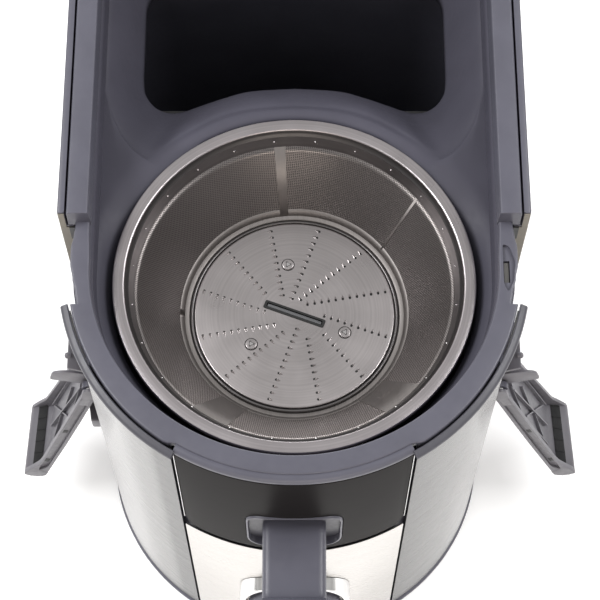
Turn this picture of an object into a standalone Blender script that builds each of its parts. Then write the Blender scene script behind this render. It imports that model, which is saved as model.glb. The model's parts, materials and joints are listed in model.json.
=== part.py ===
"""Centrifugal juicer with its lid off: motor base, juice bowl, filter basket and pulp container.

Lengths are in metres and +Z is up. The model's own origin is on the table, under the middle of
the juicer's box. Inside the script everything is laid out around the basket's axis, which stands
BASKET_Y in front of that origin: the empty "juicer" carries the offset. The front of the juicer
faces -Y, and the pulp container is at +Y.
"""
import math

import bmesh
import bpy
from mathutils import Matrix

# ---------------------------------------------------------------- driving dimensions
FRONT_REACH = 0.1431        # basket axis to the front of the flap over the spout
REAR_REACH = 0.1950         # basket axis to the back of the pulp container
BASKET_Y = (FRONT_REACH - REAR_REACH) / 2

RIM_Z = 0.2620              # top of the basket's rim above the table
FLANGE_Z = RIM_Z + 0.0200   # top of the bowl's front flange
REAR_FLANGE_Z = RIM_Z + 0.0290
FLANGE_T = 0.0030
GAP = 0.0003                # between pieces that touch

RIM_R = 0.0850              # filter basket
RIM_LIP = 0.0062
BAND_R = 0.0752             # top of the mesh, below the rim's plain band
BAND_DROP = 0.0090
DISC_R = 0.0482
DISC_DROP = 0.0405
DISC_T = 0.0010
MESH_FOOT_R = 0.0532
MESH_T = 0.0008
SLOT_L = 0.0310
SLOT_W = 0.0042
SLOT_TURN = math.radians(-20.6)
SCREW_BEARINGS = (97.0, -22.0, -142.6)      # degrees, of the disc's three screws

BOWL_R = 0.0935             # juice bowl, inside
BOWL_WALL = 0.0025
BOWL_FOOT_R = 0.0815        # inside, at the floor
BOWL_FLOOR_Z = 0.1900
COLLAR_R = 0.0205           # the collar around the drive, inside
COLLAR_Z = 0.2065
FLANGE_R = 0.1035
LIP_R = 0.1068              # the front lip between the two notches
NOTCH_X = 0.0532
TRAY_HALF_X = 0.0943        # rear tray, inside
TRAY_FLANGE_X = 0.1044
TRAY_Z = RIM_Z - 0.0030
TRAY_FOOT_Z = 0.2366
LATCH_HALF_W = 0.0207       # half the gap that each latch closes into
GAP_EDGE_X = 0.1012         # edge of the flange inside that gap

HOUSING_R = 0.1013          # motor base
HOUSING_WALL = 0.0023
HOUSING_REAR_Y = 0.0985
PLATE_Z = 0.0040
PLATE_T = 0.0040
DECK_Z = 0.1790
DECK_T = 0.0030
FRONT_SILL_Z = 0.1700       # below the dark front panel
STEEL_R = 0.1049
STEEL_T = 0.0010
BAND_OUTER_R = 0.1082
GROOVE_X = 0.0548           # edge of the steel side panels beside the front panel
SIDE_X = 0.1085             # outside of the rear side panels
SIDE_T = 0.0033
SIDE_REAR_Y = 0.1500
REAR_CORNER_R = 0.0440

PIVOT_X = 0.1050            # latches
PIVOT_Z = RIM_Z - 0.1000
LATCH_LEN = 0.1390
LATCH_BACK = 0.0045         # pivot to the latch's outer face
LATCH_W = 0.0395
LATCH_SKIN = 0.0020
OPEN_TILT = {-1: math.radians(17.7), 1: math.radians(19.9)}   # from hanging straight down
PIN_R = 0.0016
LUG_SWEEP = 0.0212          # room the latch's lug turns in, behind the housing's wall

SHAFT_R = 0.0050            # motor
ROTOR_R = 0.0270
STATOR_R = 0.0450
FRAME_R = 0.0480
STATOR_Z = (0.0720, 0.1180)

KNOB_Z = 0.0950
KNOB_R = 0.0240
SPOUT_Z = 0.1930
SPOUT_HALF_W = 0.0150
SPOUT_H = 0.0160
SPOUT_MOUTH_Y = -0.1380

FINE = 72                   # sides of the large round pieces
COARSE = 32                 # sides of the small ones

# ---------------------------------------------------------------- scene, materials, helpers
PARTS = "centrifugal_juicer"
COLOURS = {
    "grey_plastic": ((0.155, 0.158, 0.200), 0.45, 0.0),
    "black_plastic": ((0.012, 0.012, 0.013), 0.40, 0.0),
    "dark_panel": ((0.035, 0.034, 0.034), 0.38, 0.6),
    "steel": ((0.560, 0.550, 0.540), 0.28, 1.0),
    "mesh_steel": ((0.300, 0.290, 0.280), 0.40, 1.0),
    "rubber": ((0.020, 0.020, 0.022), 0.80, 0.0),
    "copper": ((0.640, 0.290, 0.160), 0.35, 1.0),
    "iron": ((0.180, 0.180, 0.185), 0.55, 1.0),
    "board": ((0.030, 0.180, 0.070), 0.60, 0.0),
}


def start():
    """Empty the scene and make the two collections."""
    for old in list(bpy.data.objects):
        bpy.data.objects.remove(old)
    for name in (PARTS, "cutters"):
        collection = bpy.data.collections.new(name)
        bpy.context.scene.collection.children.link(collection)


def make_material(name):
    colour, roughness, metallic = COLOURS[name]
    found = bpy.data.materials.get(name)
    if found:
        return found
    made = bpy.data.materials.new(name)
    made.use_nodes = True
    shader = made.node_tree.nodes["Principled BSDF"]
    shader.inputs["Base Color"].default_value = (*colour, 1.0)
    shader.inputs["Roughness"].default_value = roughness
    shader.inputs["Metallic"].default_value = metallic
    return made


def make_empty(name, parent=None, place=(0, 0, 0), turn_y=0.0):
    empty = bpy.data.objects.new(name, None)
    bpy.data.collections[PARTS].objects.link(empty)
    empty.parent = parent
    empty.location = place
    empty.rotation_euler = (0, turn_y, 0)
    return empty


def link(name, mesh, parent, place=(0, 0, 0), axes=None):
    """Link a mesh as an object; axes is a 3x3 matrix that turns its local axes."""
    item = bpy.data.objects.new(name, mesh)
    bpy.data.collections[PARTS].objects.link(item)
    item.parent = parent
    item.matrix_basis = Matrix.Translation(place) @ (axes or Matrix.Identity(3)).to_4x4()
    return item


def skin(item, material_name, smooth=None):
    """Give the piece its material, and smooth shading up to the angle given in degrees."""
    item.data.materials.append(make_material(material_name))
    if smooth:
        item.data.shade_smooth()
        item.data.set_sharp_from_angle(angle=math.radians(smooth))
    return item


def box(name, parent, x, y, z):
    """A box between the two limits given along each axis."""
    mesh = bpy.data.meshes.new(name)
    shape = bmesh.new()
    bmesh.ops.create_cube(shape, size=1.0)
    bmesh.ops.scale(shape, vec=(x[1] - x[0], y[1] - y[0], z[1] - z[0]), verts=shape.verts)
    shape.to_mesh(mesh)
    shape.free()
    return link(name, mesh, parent, (sum(x) / 2, sum(y) / 2, sum(z) / 2))


AXES = {
    "Z": Matrix.Identity(3),
    "Y": Matrix(((1, 0, 0), (0, 0, -1), (0, 1, 0))),      # outline in X, Z
    "X": Matrix(((0, 0, 1), (1, 0, 0), (0, 1, 0))),       # outline in Y, Z
}


def rod(name, parent, centre, radius, length, axis="Z", sides=COARSE, top_radius=None):
    """A cylinder, or a cone when top_radius is given, around its centre."""
    mesh = bpy.data.meshes.new(name)
    shape = bmesh.new()
    far = radius if top_radius is None else top_radius
    bmesh.ops.create_cone(shape, cap_ends=True, segments=sides, radius1=radius, radius2=far,
                          depth=length)
    shape.to_mesh(mesh)
    shape.free()
    return link(name, mesh, parent, centre, AXES[axis])


def prism(name, parent, loops, low, high, axis="Z"):
    """Flat outlines, the inner ones being holes, made solid from low to high along an axis."""
    curve = bpy.data.curves.new(name, "CURVE")
    curve.dimensions = "2D"
    curve.fill_mode = "BOTH"
    curve.extrude = (high - low) / 2
    for loop in loops:
        spline = curve.splines.new("POLY")
        spline.points.add(len(loop) - 1)
        for point, (across, up) in zip(spline.points, loop):
            point.co = (across, up, 0, 1)
        spline.use_cyclic_u = True
    drawn = bpy.data.objects.new(name + "_outline", curve)
    bpy.data.collections["cutters"].objects.link(drawn)
    seen = drawn.evaluated_get(bpy.context.evaluated_depsgraph_get())
    mesh = bpy.data.meshes.new_from_object(seen)
    bpy.data.objects.remove(drawn)
    shape = bmesh.new()
    shape.from_mesh(mesh)
    bmesh.ops.remove_doubles(shape, verts=shape.verts, dist=1e-6)
    bmesh.ops.recalc_face_normals(shape, faces=shape.faces)
    shape.to_mesh(mesh)
    shape.free()
    middle = (low + high) / 2
    place = {"Z": (0, 0, middle), "Y": (0, middle, 0), "X": (middle, 0, 0)}[axis]
    return link(name, mesh, parent, place, AXES[axis])


def turned(name, parent, profile, sides=FINE, ring=True):
    """Turn a profile of (radius, height) about Z, running down its outer side.

    A ring's profile closes on itself; any other starts and ends on the axis.
    """
    mesh = bpy.data.meshes.new(name)
    count = len(profile)
    edges = [(i, i + 1) for i in range(count - 1)] + ([(count - 1, 0)] if ring else [])
    mesh.from_pydata([(r, 0, z) for r, z in profile], edges, [])
    item = link(name, mesh, parent)
    screw = item.modifiers.new("turn", "SCREW")
    screw.angle = math.tau
    screw.steps = screw.render_steps = sides
    screw.use_merge_vertices = True
    screw.merge_threshold = 1e-5
    return item


def tube(name, parent, inner, outer, low, high, sides=COARSE):
    """A plain ring of rectangular section."""
    return turned(name, parent, [(outer, high), (outer, low), (inner, low), (inner, high)], sides)


def combine(item, others, operation):
    """Cut or join others into item with exact booleans, and keep them as hidden guides."""
    for other in others:
        change = item.modifiers.new(other.name, "BOOLEAN")
        change.operation = operation
        change.solver = "EXACT"
        change.object = other
        other.hide_render = True
        other.display_type = "WIRE"
        bpy.data.collections[PARTS].objects.unlink(other)
        bpy.data.collections["cutters"].objects.link(other)
    return item


def cut(item, *others):
    return combine(item, others, "DIFFERENCE")


def join(item, *others):
    return combine(item, others, "UNION")


def arc(centre, radius, start_deg, end_deg, count):
    """Points along an arc, both ends included."""
    turns = [math.radians(start_deg + (end_deg - start_deg) * i / (count - 1))
             for i in range(count)]
    return [(centre[0] + radius * math.cos(t), centre[1] + radius * math.sin(t)) for t in turns]


def bath_outline(radius, rear_y, corner):
    """Half circle in front, straight sides, and a rear with rounded corners."""
    return (arc((0, 0), radius, 178, 362, 38)
            + arc((radius - corner, rear_y - corner), corner, 0, 90, 9)
            + arc((corner - radius, rear_y - corner), corner, 90, 180, 9))


def sector_outline(inner, outer, start_deg, end_deg, count=17):
    """A piece of a flat ring, for curved sheets."""
    return (arc((0, 0), outer, start_deg, end_deg, count)
            + arc((0, 0), inner, end_deg, start_deg, count))


def rectangle(x, y):
    return [(x[0], y[0]), (x[1], y[0]), (x[1], y[1]), (x[0], y[1])]


def rounded_rectangle(x, y, corner, count=6):
    low_x, high_x = x[0] + corner, x[1] - corner
    low_y, high_y = y[0] + corner, y[1] - corner
    return (arc((low_x, low_y), corner, 180, 270, count)
            + arc((high_x, low_y), corner, 270, 360, count)
            + arc((high_x, high_y), corner, 0, 90, count)
            + arc((low_x, high_y), corner, 90, 180, count))


def bearing_of(x, radius):
    """Angle in degrees, on the front half of a circle, where it crosses the given X."""
    return -90 + math.degrees(math.asin(x / radius))


# ---------------------------------------------------------------- motor base
def build_base(base):
    inner_r = HOUSING_R - HOUSING_WALL
    housing = prism("base_housing", base, [bath_outline(HOUSING_R, HOUSING_REAR_Y, 0.010)],
                    PLATE_Z + PLATE_T + GAP, FLANGE_Z - FLANGE_T - GAP)
    inner = bath_outline(inner_r, HOUSING_REAR_Y - HOUSING_WALL, 0.008)
    low_inner = bath_outline(inner_r - 0.0003, HOUSING_REAR_Y - HOUSING_WALL - 0.0003, 0.0077)
    low_room = prism("motor_room", base, [low_inner], 0.0, DECK_Z - DECK_T)
    high_room = prism("bowl_room", base, [inner], DECK_Z, 0.32)
    front_way = prism("front_way", base,
                      [sector_outline(inner_r - 0.0004, 0.1200, bearing_of(-GROOVE_X, inner_r),
                                      bearing_of(GROOVE_X, inner_r), 25)],
                      FRONT_SILL_Z, 0.3300)
    tray_way = box("tray_way", base, (-0.0975, 0.0975), (0.0700, 0.1200),
                   (TRAY_FOOT_Z - 0.0010, 0.3300))
    shaft_way = rod("shaft_way", base, (0, 0, DECK_Z), 0.0075, 0.02, sides=30)
    knob_way = rod("knob_way", base, (0, -0.10, KNOB_Z), 0.0045, 0.02, "Y")
    cord_way = rod("cord_way", base, (-HOUSING_R, 0.075, 0.030), 0.0036, 0.012, "X", 24)
    cut(housing, low_room, high_room, front_way, tray_way, shaft_way, knob_way, cord_way)
    for side in (-1, 1):
        window = box(f"heel_window_{side}", base, sorted((side * (PIVOT_X - LUG_SWEEP), side * 0.12)),
                     (-0.0138, 0.0138), (PIVOT_Z - LUG_SWEEP, PIVOT_Z + LUG_SWEEP))
        cut(housing, window)
    skin(housing, "grey_plastic", 30)

    plate = prism("base_plate", base, [bath_outline(0.1060, 0.1940, REAR_CORNER_R)],
                  PLATE_Z, PLATE_Z + PLATE_T)
    vents = [box(f"vent_{i}", base, (-0.03, 0.03), (y, y + 0.004), (0, 0.02))
             for i, y in enumerate((-0.012, 0.0, 0.012))]
    skin(cut(plate, *vents), "grey_plastic", 30)

    feet = {"front_left": (-0.068, -0.055), "front_right": (0.068, -0.055),
            "rear_left": (-0.075, 0.150), "rear_right": (0.075, 0.150)}
    for name, (x, y) in feet.items():
        foot = rod(f"foot_{name}", base, (x, y, (PLATE_Z - GAP) / 2), 0.008, PLATE_Z - GAP)
        skin(foot, "rubber", 40)


def build_covers(base):
    """Steel side panels, their grey cap bands, the front fascia and the rear side panels."""
    panel_z = (PLATE_Z + PLATE_T + 0.0010, FLANGE_Z - 0.0180)
    fascia_edge = GROOVE_X - 0.0010
    for side, name in ((-1, "left"), (1, "right")):
        front = bearing_of(GROOVE_X, STEEL_R)
        rear = -math.degrees(math.asin(0.0215 / STEEL_R))
        angles = (front, rear) if side > 0 else (-180 - front, -180 - rear)
        steel = prism(f"steel_panel_{name}", base,
                      [sector_outline(STEEL_R - STEEL_T, STEEL_R, *angles)], *panel_z)
        skin(steel, "steel", 30)
        front = bearing_of(GROOVE_X - 0.0008, BAND_OUTER_R)
        rear = -math.degrees(math.asin(0.0212 / BAND_OUTER_R))
        angles = (front, rear) if side > 0 else (-180 - front, -180 - rear)
        band = prism(f"side_band_{name}", base,
                     [sector_outline(FLANGE_R + 0.0008, BAND_OUTER_R, *angles)],
                     panel_z[1] + GAP, FLANGE_Z - 0.0005)
        notch = box(f"notch_{name}", base, sorted((0, side * (GROOVE_X - 0.0007))), (-0.12, 0),
                    (0.20, 0.32))
        cut(band, notch)
        skin(band, "grey_plastic", 30)
        outer, inner = side * SIDE_X, side * (SIDE_X - SIDE_T)
        lug = side * (HOUSING_R + 0.0004)
        front_y, return_y = LATCH_HALF_W + 0.0002, LATCH_HALF_W + 0.0024
        wall = prism(f"rear_panel_{name}", base,
                     [[(outer, front_y), (outer, SIDE_REAR_Y), (inner, SIDE_REAR_Y),
                       (inner, return_y), (lug, return_y), (lug, front_y)]],
                     PLATE_Z + PLATE_T + GAP, REAR_FLANGE_Z)
        shelf = box(f"band_clear_{name}", base, sorted((side * 0.100, side * (SIDE_X - SIDE_T))),
                    (0.0, return_y + 0.001), (FLANGE_Z - FLANGE_T - GAP, 0.32))
        cut(wall, shelf)
        if side < 0:
            cut(wall, rod("gland_way", base, (outer, 0.075, 0.030), 0.0056, 0.03, "X"))
        skin(wall, "grey_plastic", 30)

    fascia = prism("front_fascia", base,
                   [sector_outline(STEEL_R - STEEL_T, STEEL_R, bearing_of(-fascia_edge, STEEL_R),
                                   bearing_of(fascia_edge, STEEL_R))],
                   PLATE_Z + PLATE_T + 0.0010, FRONT_SILL_Z - 0.0010)
    cut(fascia, rod("fascia_hole", base, (0, -0.105, KNOB_Z), 0.0060, 0.03, "Y"))
    skin(fascia, "steel", 30)

    gland = rod("cord_gland", base, (-0.1060, 0.075, 0.030), 0.0052, 0.0080, "X", 24)
    collar = rod("gland_collar", base, (-0.1106, 0.075, 0.030), 0.0075, 0.0030, "X", 24)
    bore = rod("gland_bore", base, (-0.1080, 0.075, 0.030), 0.0034, 0.02, "X", 24)
    skin(cut(join(gland, collar), bore), "rubber", 40)


def build_knob(base):
    """Speed knob, its bezel and the rotary switch behind the fascia."""
    bezel_y = (-0.1110, -0.0980)
    ring = [arc((0, KNOB_Z), 0.0290, 0, 354, 60), arc((0, KNOB_Z), 0.0252, 0, 354, 60)]
    bezel = prism("knob_bezel", base, ring, *bezel_y, axis="Y")
    cut(bezel, rod("bezel_seat", base, (0, 0, KNOB_Z), STEEL_R + GAP, 0.10, sides=FINE))
    skin(bezel, "grey_plastic", 40)
    foot_y = -(STEEL_R + 0.0020)
    knob = rod("speed_knob", base, (0, foot_y - 0.0115, KNOB_Z), KNOB_R, 0.0230, "Y", 48)
    stem_y = (foot_y - 0.001, -0.0942)
    stem = rod("knob_stem", base, (0, sum(stem_y) / 2, KNOB_Z), 0.0030, stem_y[1] - stem_y[0], "Y",
               24)
    skin(join(knob, stem), "grey_plastic", 40)
    skin(box("speed_switch", base, (-0.014, 0.014), (-0.0938, -0.0720), (KNOB_Z - 0.014,
                                                                          KNOB_Z + 0.014)),
         "black_plastic")


def build_motor(base):
    """Universal motor on the basket's axis, with its frame, mounts and electronics."""
    low, high = STATOR_Z
    stator = tube("motor_stator", base, ROTOR_R + 0.0010, STATOR_R, low, high, 48)
    skin(stator, "iron", 40)
    for name, start_z in (("upper", high + GAP), ("lower", low - 0.0100)):
        coil = tube(f"field_coil_{name}", base, 0.0310, 0.0410, start_z, start_z + 0.0097, 48)
        skin(coil, "copper", 40)

    seat_r = 0.0114
    lower = turned("motor_frame_lower", base,
                   [(FRAME_R, high - 0.020), (FRAME_R, 0.0340), (seat_r, 0.0340), (seat_r, 0.0390),
                    (FRAME_R - 0.0025, 0.0390), (FRAME_R - 0.0025, high - 0.020)], 48)
    skin(lower, "iron", 40)
    upper = turned("motor_frame_upper", base,
                   [(FRAME_R, 0.1540), (FRAME_R, high - 0.0190), (FRAME_R - 0.0025, high - 0.0190),
                    (FRAME_R - 0.0025, 0.1495), (seat_r, 0.1495), (seat_r, 0.1540)], 48)
    skin(upper, "iron", 40)
    skin(tube("lower_bearing", base, SHAFT_R + GAP, seat_r - GAP, 0.0340, 0.0390), "steel", 40)
    skin(tube("upper_bearing", base, SHAFT_R + GAP, seat_r - GAP, 0.1495, 0.1540), "steel", 40)

    for side, name in ((-1, "left"), (1, "right")):
        brush = box(f"carbon_brush_{name}", base, sorted((side * 0.0136, side * 0.0440)),
                    (-0.0040, 0.0040), (0.0485, 0.0545))
        skin(brush, "iron")
    mount = tube("motor_mount", base, 0.0380, 0.0460, PLATE_Z + PLATE_T + GAP, 0.0337, 48)
    skin(mount, "rubber", 40)

    board = box("circuit_board", base, (-0.045, 0.045), (0.058, 0.090), (0.0160, 0.0176))
    relay = box("board_relay", base, (-0.030, -0.012), (0.064, 0.084), (0.0170, 0.0330))
    sink = box("board_heat_sink", base, (0.004, 0.030), (0.068, 0.080), (0.0170, 0.0380))
    skin(join(board, relay, sink), "board")


def build_rotor(spin):
    """Everything that turns with the motor's shaft."""
    low, high = STATOR_Z
    shaft = rod("motor_shaft", spin, (0, 0, 0.1130), SHAFT_R, 0.1660, sides=24)
    skin(shaft, "steel", 40)
    bore = SHAFT_R + GAP
    skin(tube("armature", spin, bore, ROTOR_R, low + 0.002, high - 0.002, 48), "iron", 40)
    skin(tube("commutator", spin, bore, 0.0130, 0.0440, 0.0590), "copper", 40)
    fan = tube("cooling_fan", spin, bore, 0.0400, 0.1565, 0.1585, 48)
    blades = []
    for i in range(8):
        turn = math.tau * i / 8
        blade = box(f"blade_{i}", spin, (-0.012, 0.012), (-0.0007, 0.0007), (0.1580, 0.1700))
        blade.location = (0.026 * math.cos(turn), 0.026 * math.sin(turn), 0.1640)
        blade.rotation_euler = (0, 0, turn + 0.35)
        blades.append(blade)
    skin(join(fan, *blades), "black_plastic")
    coupling = turned("drive_coupling", spin,
                      [(0.0110, 0.2060), (0.0140, 0.2030), (0.0140, 0.1830), (bore, 0.1830),
                       (bore, 0.2060)])
    skin(coupling, "black_plastic", 40)


def build_interlock(base, slide):
    """Safety switch that the lid's tongue works through the slot in the right flange."""
    y = (-0.0090, 0.0008)
    rod_z = (0.2250, FLANGE_Z - 0.0025)
    skin(box("interlock_rod", slide, (0.0960, 0.0981), y, rod_z), "steel")
    spring = tube("interlock_spring", base, 0.0022, 0.0034, 0.2145, rod_z[0] - GAP, 16)
    spring.location = (0.0950, sum(y) / 2, 0)
    skin(spring, "steel", 40)
    skin(box("interlock_switch", base, (0.0893, 0.0976), (-0.0130, 0.0050), (0.1950, 0.2142)),
         "black_plastic")


# ---------------------------------------------------------------- juice bowl
def pulp_hole_outline():
    """Kidney-shaped way down to the pulp container, its front edge round the bowl."""
    lobe = 0.0170
    return (arc((0, 0), 0.1160, 116, 64, 15)
            + arc((0.0600, 0.1190), lobe, -80, 0, 7)
            + arc((0.0560, 0.1640), 0.0210, 0, 90, 7)
            + arc((-0.0560, 0.1640), 0.0210, 90, 180, 7)
            + arc((-0.0600, 0.1190), lobe, 180, 260, 7))


def tray_outline(half_x, front_y, inset):
    """Straight sides as far as the rear side panels go, then a cowl as wide as the juicer."""
    wide, corner = SIDE_X - inset, REAR_CORNER_R - inset
    corner_y = REAR_REACH - REAR_CORNER_R
    step_y = SIDE_REAR_Y + 0.0012
    return ([(-half_x, front_y), (half_x, front_y), (half_x, step_y)]
            + arc((wide - corner, corner_y), corner, -1, 90, 13)
            + arc((corner - wide, corner_y), corner, 90, 181, 13)
            + [(-half_x, step_y)])


def build_bowl(bowl):
    wall_r = BOWL_R + BOWL_WALL
    foot_z = BOWL_FLOOR_Z - 0.0030
    under_z = FLANGE_Z - FLANGE_T
    outer = turned("juice_bowl", bowl,
                   [(0, FLANGE_Z - 0.0010), (wall_r, FLANGE_Z - 0.0010), (wall_r, RIM_Z),
                    (BOWL_FOOT_R + BOWL_WALL, foot_z), (0, foot_z)], ring=False)
    shoulder = prism("tray_shoulder", bowl,
                     [rectangle((-wall_r - 0.0004, wall_r + 0.0004), (0.0020, 0.0700))],
                     TRAY_FOOT_Z + 0.0120, FLANGE_Z - 0.0014)
    tray = prism("tray_block", bowl, [tray_outline(wall_r + 0.0002, 0.0600, 0.0002)],
                 TRAY_FOOT_Z, FLANGE_Z - 0.0018)
    flange = prism("front_flange", bowl, [bath_outline(FLANGE_R, 0.0400, 0.0050)],
                   under_z + 0.0002, FLANGE_Z)
    lip = prism("front_lip", bowl,
                [sector_outline(0.0948, LIP_R, bearing_of(-NOTCH_X, LIP_R),
                                bearing_of(NOTCH_X, LIP_R), 25)],
                FLANGE_Z - 0.0055, FLANGE_Z - 0.0003)
    rear_flange = prism("rear_flange", bowl,
                        [tray_outline(TRAY_FLANGE_X, LATCH_HALF_W + 0.0003, 0.0)],
                        under_z, REAR_FLANGE_Z)
    join(outer, shoulder, tray, flange, lip, rear_flange)

    room = turned("bowl_cavity", bowl,
                  [(0, 0.33), (BOWL_R, 0.33), (BOWL_R, RIM_Z), (BOWL_FOOT_R, BOWL_FLOOR_Z),
                   (COLLAR_R + 0.0025, BOWL_FLOOR_Z), (COLLAR_R + 0.0025, COLLAR_Z),
                   (0, COLLAR_Z)], ring=False)
    hole = rod("drive_hole", bowl, (0, 0, BOWL_FLOOR_Z), COLLAR_R, 0.06, sides=48)
    inner_y, corner = 0.1880, 0.0370
    tray_room = prism("tray_cavity", bowl,
                      [[(-TRAY_HALF_X, 0.0040), (TRAY_HALF_X, 0.0040)]
                       + arc((TRAY_HALF_X - corner, inner_y - corner), corner, 0, 90, 11)
                       + arc((corner - TRAY_HALF_X, inner_y - corner), corner, 90, 180, 11)],
                      TRAY_Z, 0.33)
    pulp_way = prism("pulp_way", bowl, [pulp_hole_outline()], 0.20, 0.33)
    spout_way = box("spout_way", bowl, (-SPOUT_HALF_W + 0.002, SPOUT_HALF_W - 0.002),
                    (-0.10, -0.06), (BOWL_FLOOR_Z + 0.0004, SPOUT_Z + SPOUT_H - 0.004))
    cut(outer, room, hole, tray_room, pulp_way, spout_way)
    for side in (-1, 1):
        gap = box(f"latch_gap_{side}", bowl, sorted((side * GAP_EDGE_X, side * 0.12)),
                  (-LATCH_HALF_W, LATCH_HALF_W), (0.24, 0.33))
        cut(outer, gap)
    rod_slot = box("rod_slot", bowl, (0.0956, 0.0985), (-0.0095, 0.0013), (0.2420, 0.33))
    skin(cut(outer, rod_slot), "grey_plastic", 30)

    seal = tube("bowl_seal", bowl, 0.0150, COLLAR_R - GAP, BOWL_FLOOR_Z - 0.0030,
                BOWL_FLOOR_Z - 0.0005, 48)
    skin(seal, "rubber", 40)


def build_front(bowl):
    """Dark front panel with the spout, which lifts off with the bowl."""
    panel = prism("front_panel", bowl,
                  [sector_outline(0.1021, 0.1045, bearing_of(-NOTCH_X, 0.1045),
                                  bearing_of(NOTCH_X, 0.1045), 25)],
                  FRONT_SILL_Z + 0.0020, FLANGE_Z - 0.0058)
    window = prism("spout_window", bowl,
                   [rounded_rectangle((-0.0232, 0.0232), (0.1795, 0.2262), 0.0090)],
                   -0.12, -0.09, axis="Y")
    skin(cut(panel, window), "dark_panel", 30)

    outer = rounded_rectangle((-0.0229, 0.0229), (0.1798, 0.2259), 0.0087)
    inner = rounded_rectangle((-0.0213, 0.0213), (0.1814, 0.2243), 0.0072)
    spout = prism("juice_spout", bowl, [outer, inner], -0.1075, -0.0995, axis="Y")
    back = prism("spout_back", bowl, [outer], -0.0996, -0.0976, axis="Y")
    start_y = -(BOWL_FOOT_R + BOWL_WALL + 0.0062)
    low, high = BOWL_FLOOR_Z - 0.0020, SPOUT_Z + SPOUT_H
    half, wall = SPOUT_HALF_W, 0.0020
    pipe = box("spout_pipe", bowl, (-half, half), (SPOUT_MOUTH_Y, start_y), (low, high))
    nose = box("spout_nose", bowl, (-half, half), (SPOUT_MOUTH_Y, -0.1180),
               (low - 0.0090, low + wall))
    channel = box("spout_channel", bowl, (wall - half, half - wall),
                  (SPOUT_MOUTH_Y + wall, start_y + 0.01), (low + wall, high - wall))
    drop = box("spout_drop", bowl, (wall - half, half - wall), (SPOUT_MOUTH_Y - 0.010, -0.1200),
               (low - 0.0200, high - 0.0060))
    skin(cut(join(spout, back, pipe, nose), channel, drop), "grey_plastic", 30)


def build_drip_flap(hinge):
    """Flap that hangs over the spout's mouth and swings out; the hinge empty is its axis."""
    flap = box("drip_flap", hinge, (-SPOUT_HALF_W, SPOUT_HALF_W), (-0.0035, -0.0010),
               (-0.0260, 0.0020))
    barrel = rod("flap_barrel", hinge, (0, -0.0010, 0), 0.0022, 2 * SPOUT_HALF_W, "X", 20)
    skin(join(flap, barrel), "grey_plastic", 40)


# ---------------------------------------------------------------- filter basket
def build_basket(spin):
    disc_z = RIM_Z - DISC_DROP
    lip_r = RIM_R - RIM_LIP
    rim = turned("basket_rim", spin,
                 [(lip_r, RIM_Z), (RIM_R - 0.0008, RIM_Z), (RIM_R, RIM_Z - 0.0010),
                  (RIM_R, RIM_Z - 0.0030), (RIM_R - 0.0012, RIM_Z - 0.0030),
                  (lip_r, RIM_Z - 0.0014), (BAND_R + 0.0012, RIM_Z - BAND_DROP),
                  (BAND_R, RIM_Z - BAND_DROP), (lip_r - 0.0014, RIM_Z - 0.0024)])
    skin(rim, "steel", 40)
    top_z, foot_z = RIM_Z - BAND_DROP - GAP, disc_z - DISC_T
    mesh = turned("basket_mesh", spin,
                  [(BAND_R + MESH_T, top_z), (MESH_FOOT_R + MESH_T, foot_z),
                   (MESH_FOOT_R, foot_z), (BAND_R, top_z)])
    skin(mesh, "mesh_steel", 40)

    base_top = disc_z - DISC_T - GAP
    hub_r = COLLAR_R - 0.0022
    foot = turned("basket_base", spin,
                  [(0, base_top), (MESH_FOOT_R + 0.0012, base_top - 0.0004),
                   (MESH_FOOT_R + 0.0012, base_top - 0.0050), (0.0300, COLLAR_Z + 0.0022),
                   (hub_r, COLLAR_Z + 0.0022), (hub_r, 0.1935), (0.0146, 0.1935),
                   (0.0146, 0.2075), (0, 0.2075)], ring=False)
    skin(foot, "black_plastic", 40)

    disc = rod("grating_disc", spin, (0, 0, disc_z - DISC_T / 2), DISC_R, DISC_T, sides=FINE)
    slot = box("disc_slot", spin, (-SLOT_L / 2 - GAP, SLOT_L / 2 + GAP),
               (-SLOT_W / 2 - GAP, SLOT_W / 2 + GAP), (disc_z - 0.01, disc_z + 0.01))
    slot.rotation_euler = (0, 0, SLOT_TURN)
    cut(disc, slot)
    skin(disc, "steel", 40)
    insert = box("drive_insert", spin, (-SLOT_L / 2, SLOT_L / 2), (-SLOT_W / 2, SLOT_W / 2),
                 (disc_z - DISC_T, disc_z + 0.0004))
    insert.rotation_euler = (0, 0, SLOT_TURN)
    skin(insert, "black_plastic")
    reach = 0.545 * DISC_R
    for i, bearing in enumerate(SCREW_BEARINGS):
        turn = math.radians(bearing)
        screw = rod(f"disc_screw_{i + 1}", spin,
                    (reach * math.cos(turn), reach * math.sin(turn), disc_z + 0.0008),
                    0.0030, 0.0010, sides=18)
        skin(screw, "steel", 40)


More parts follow.
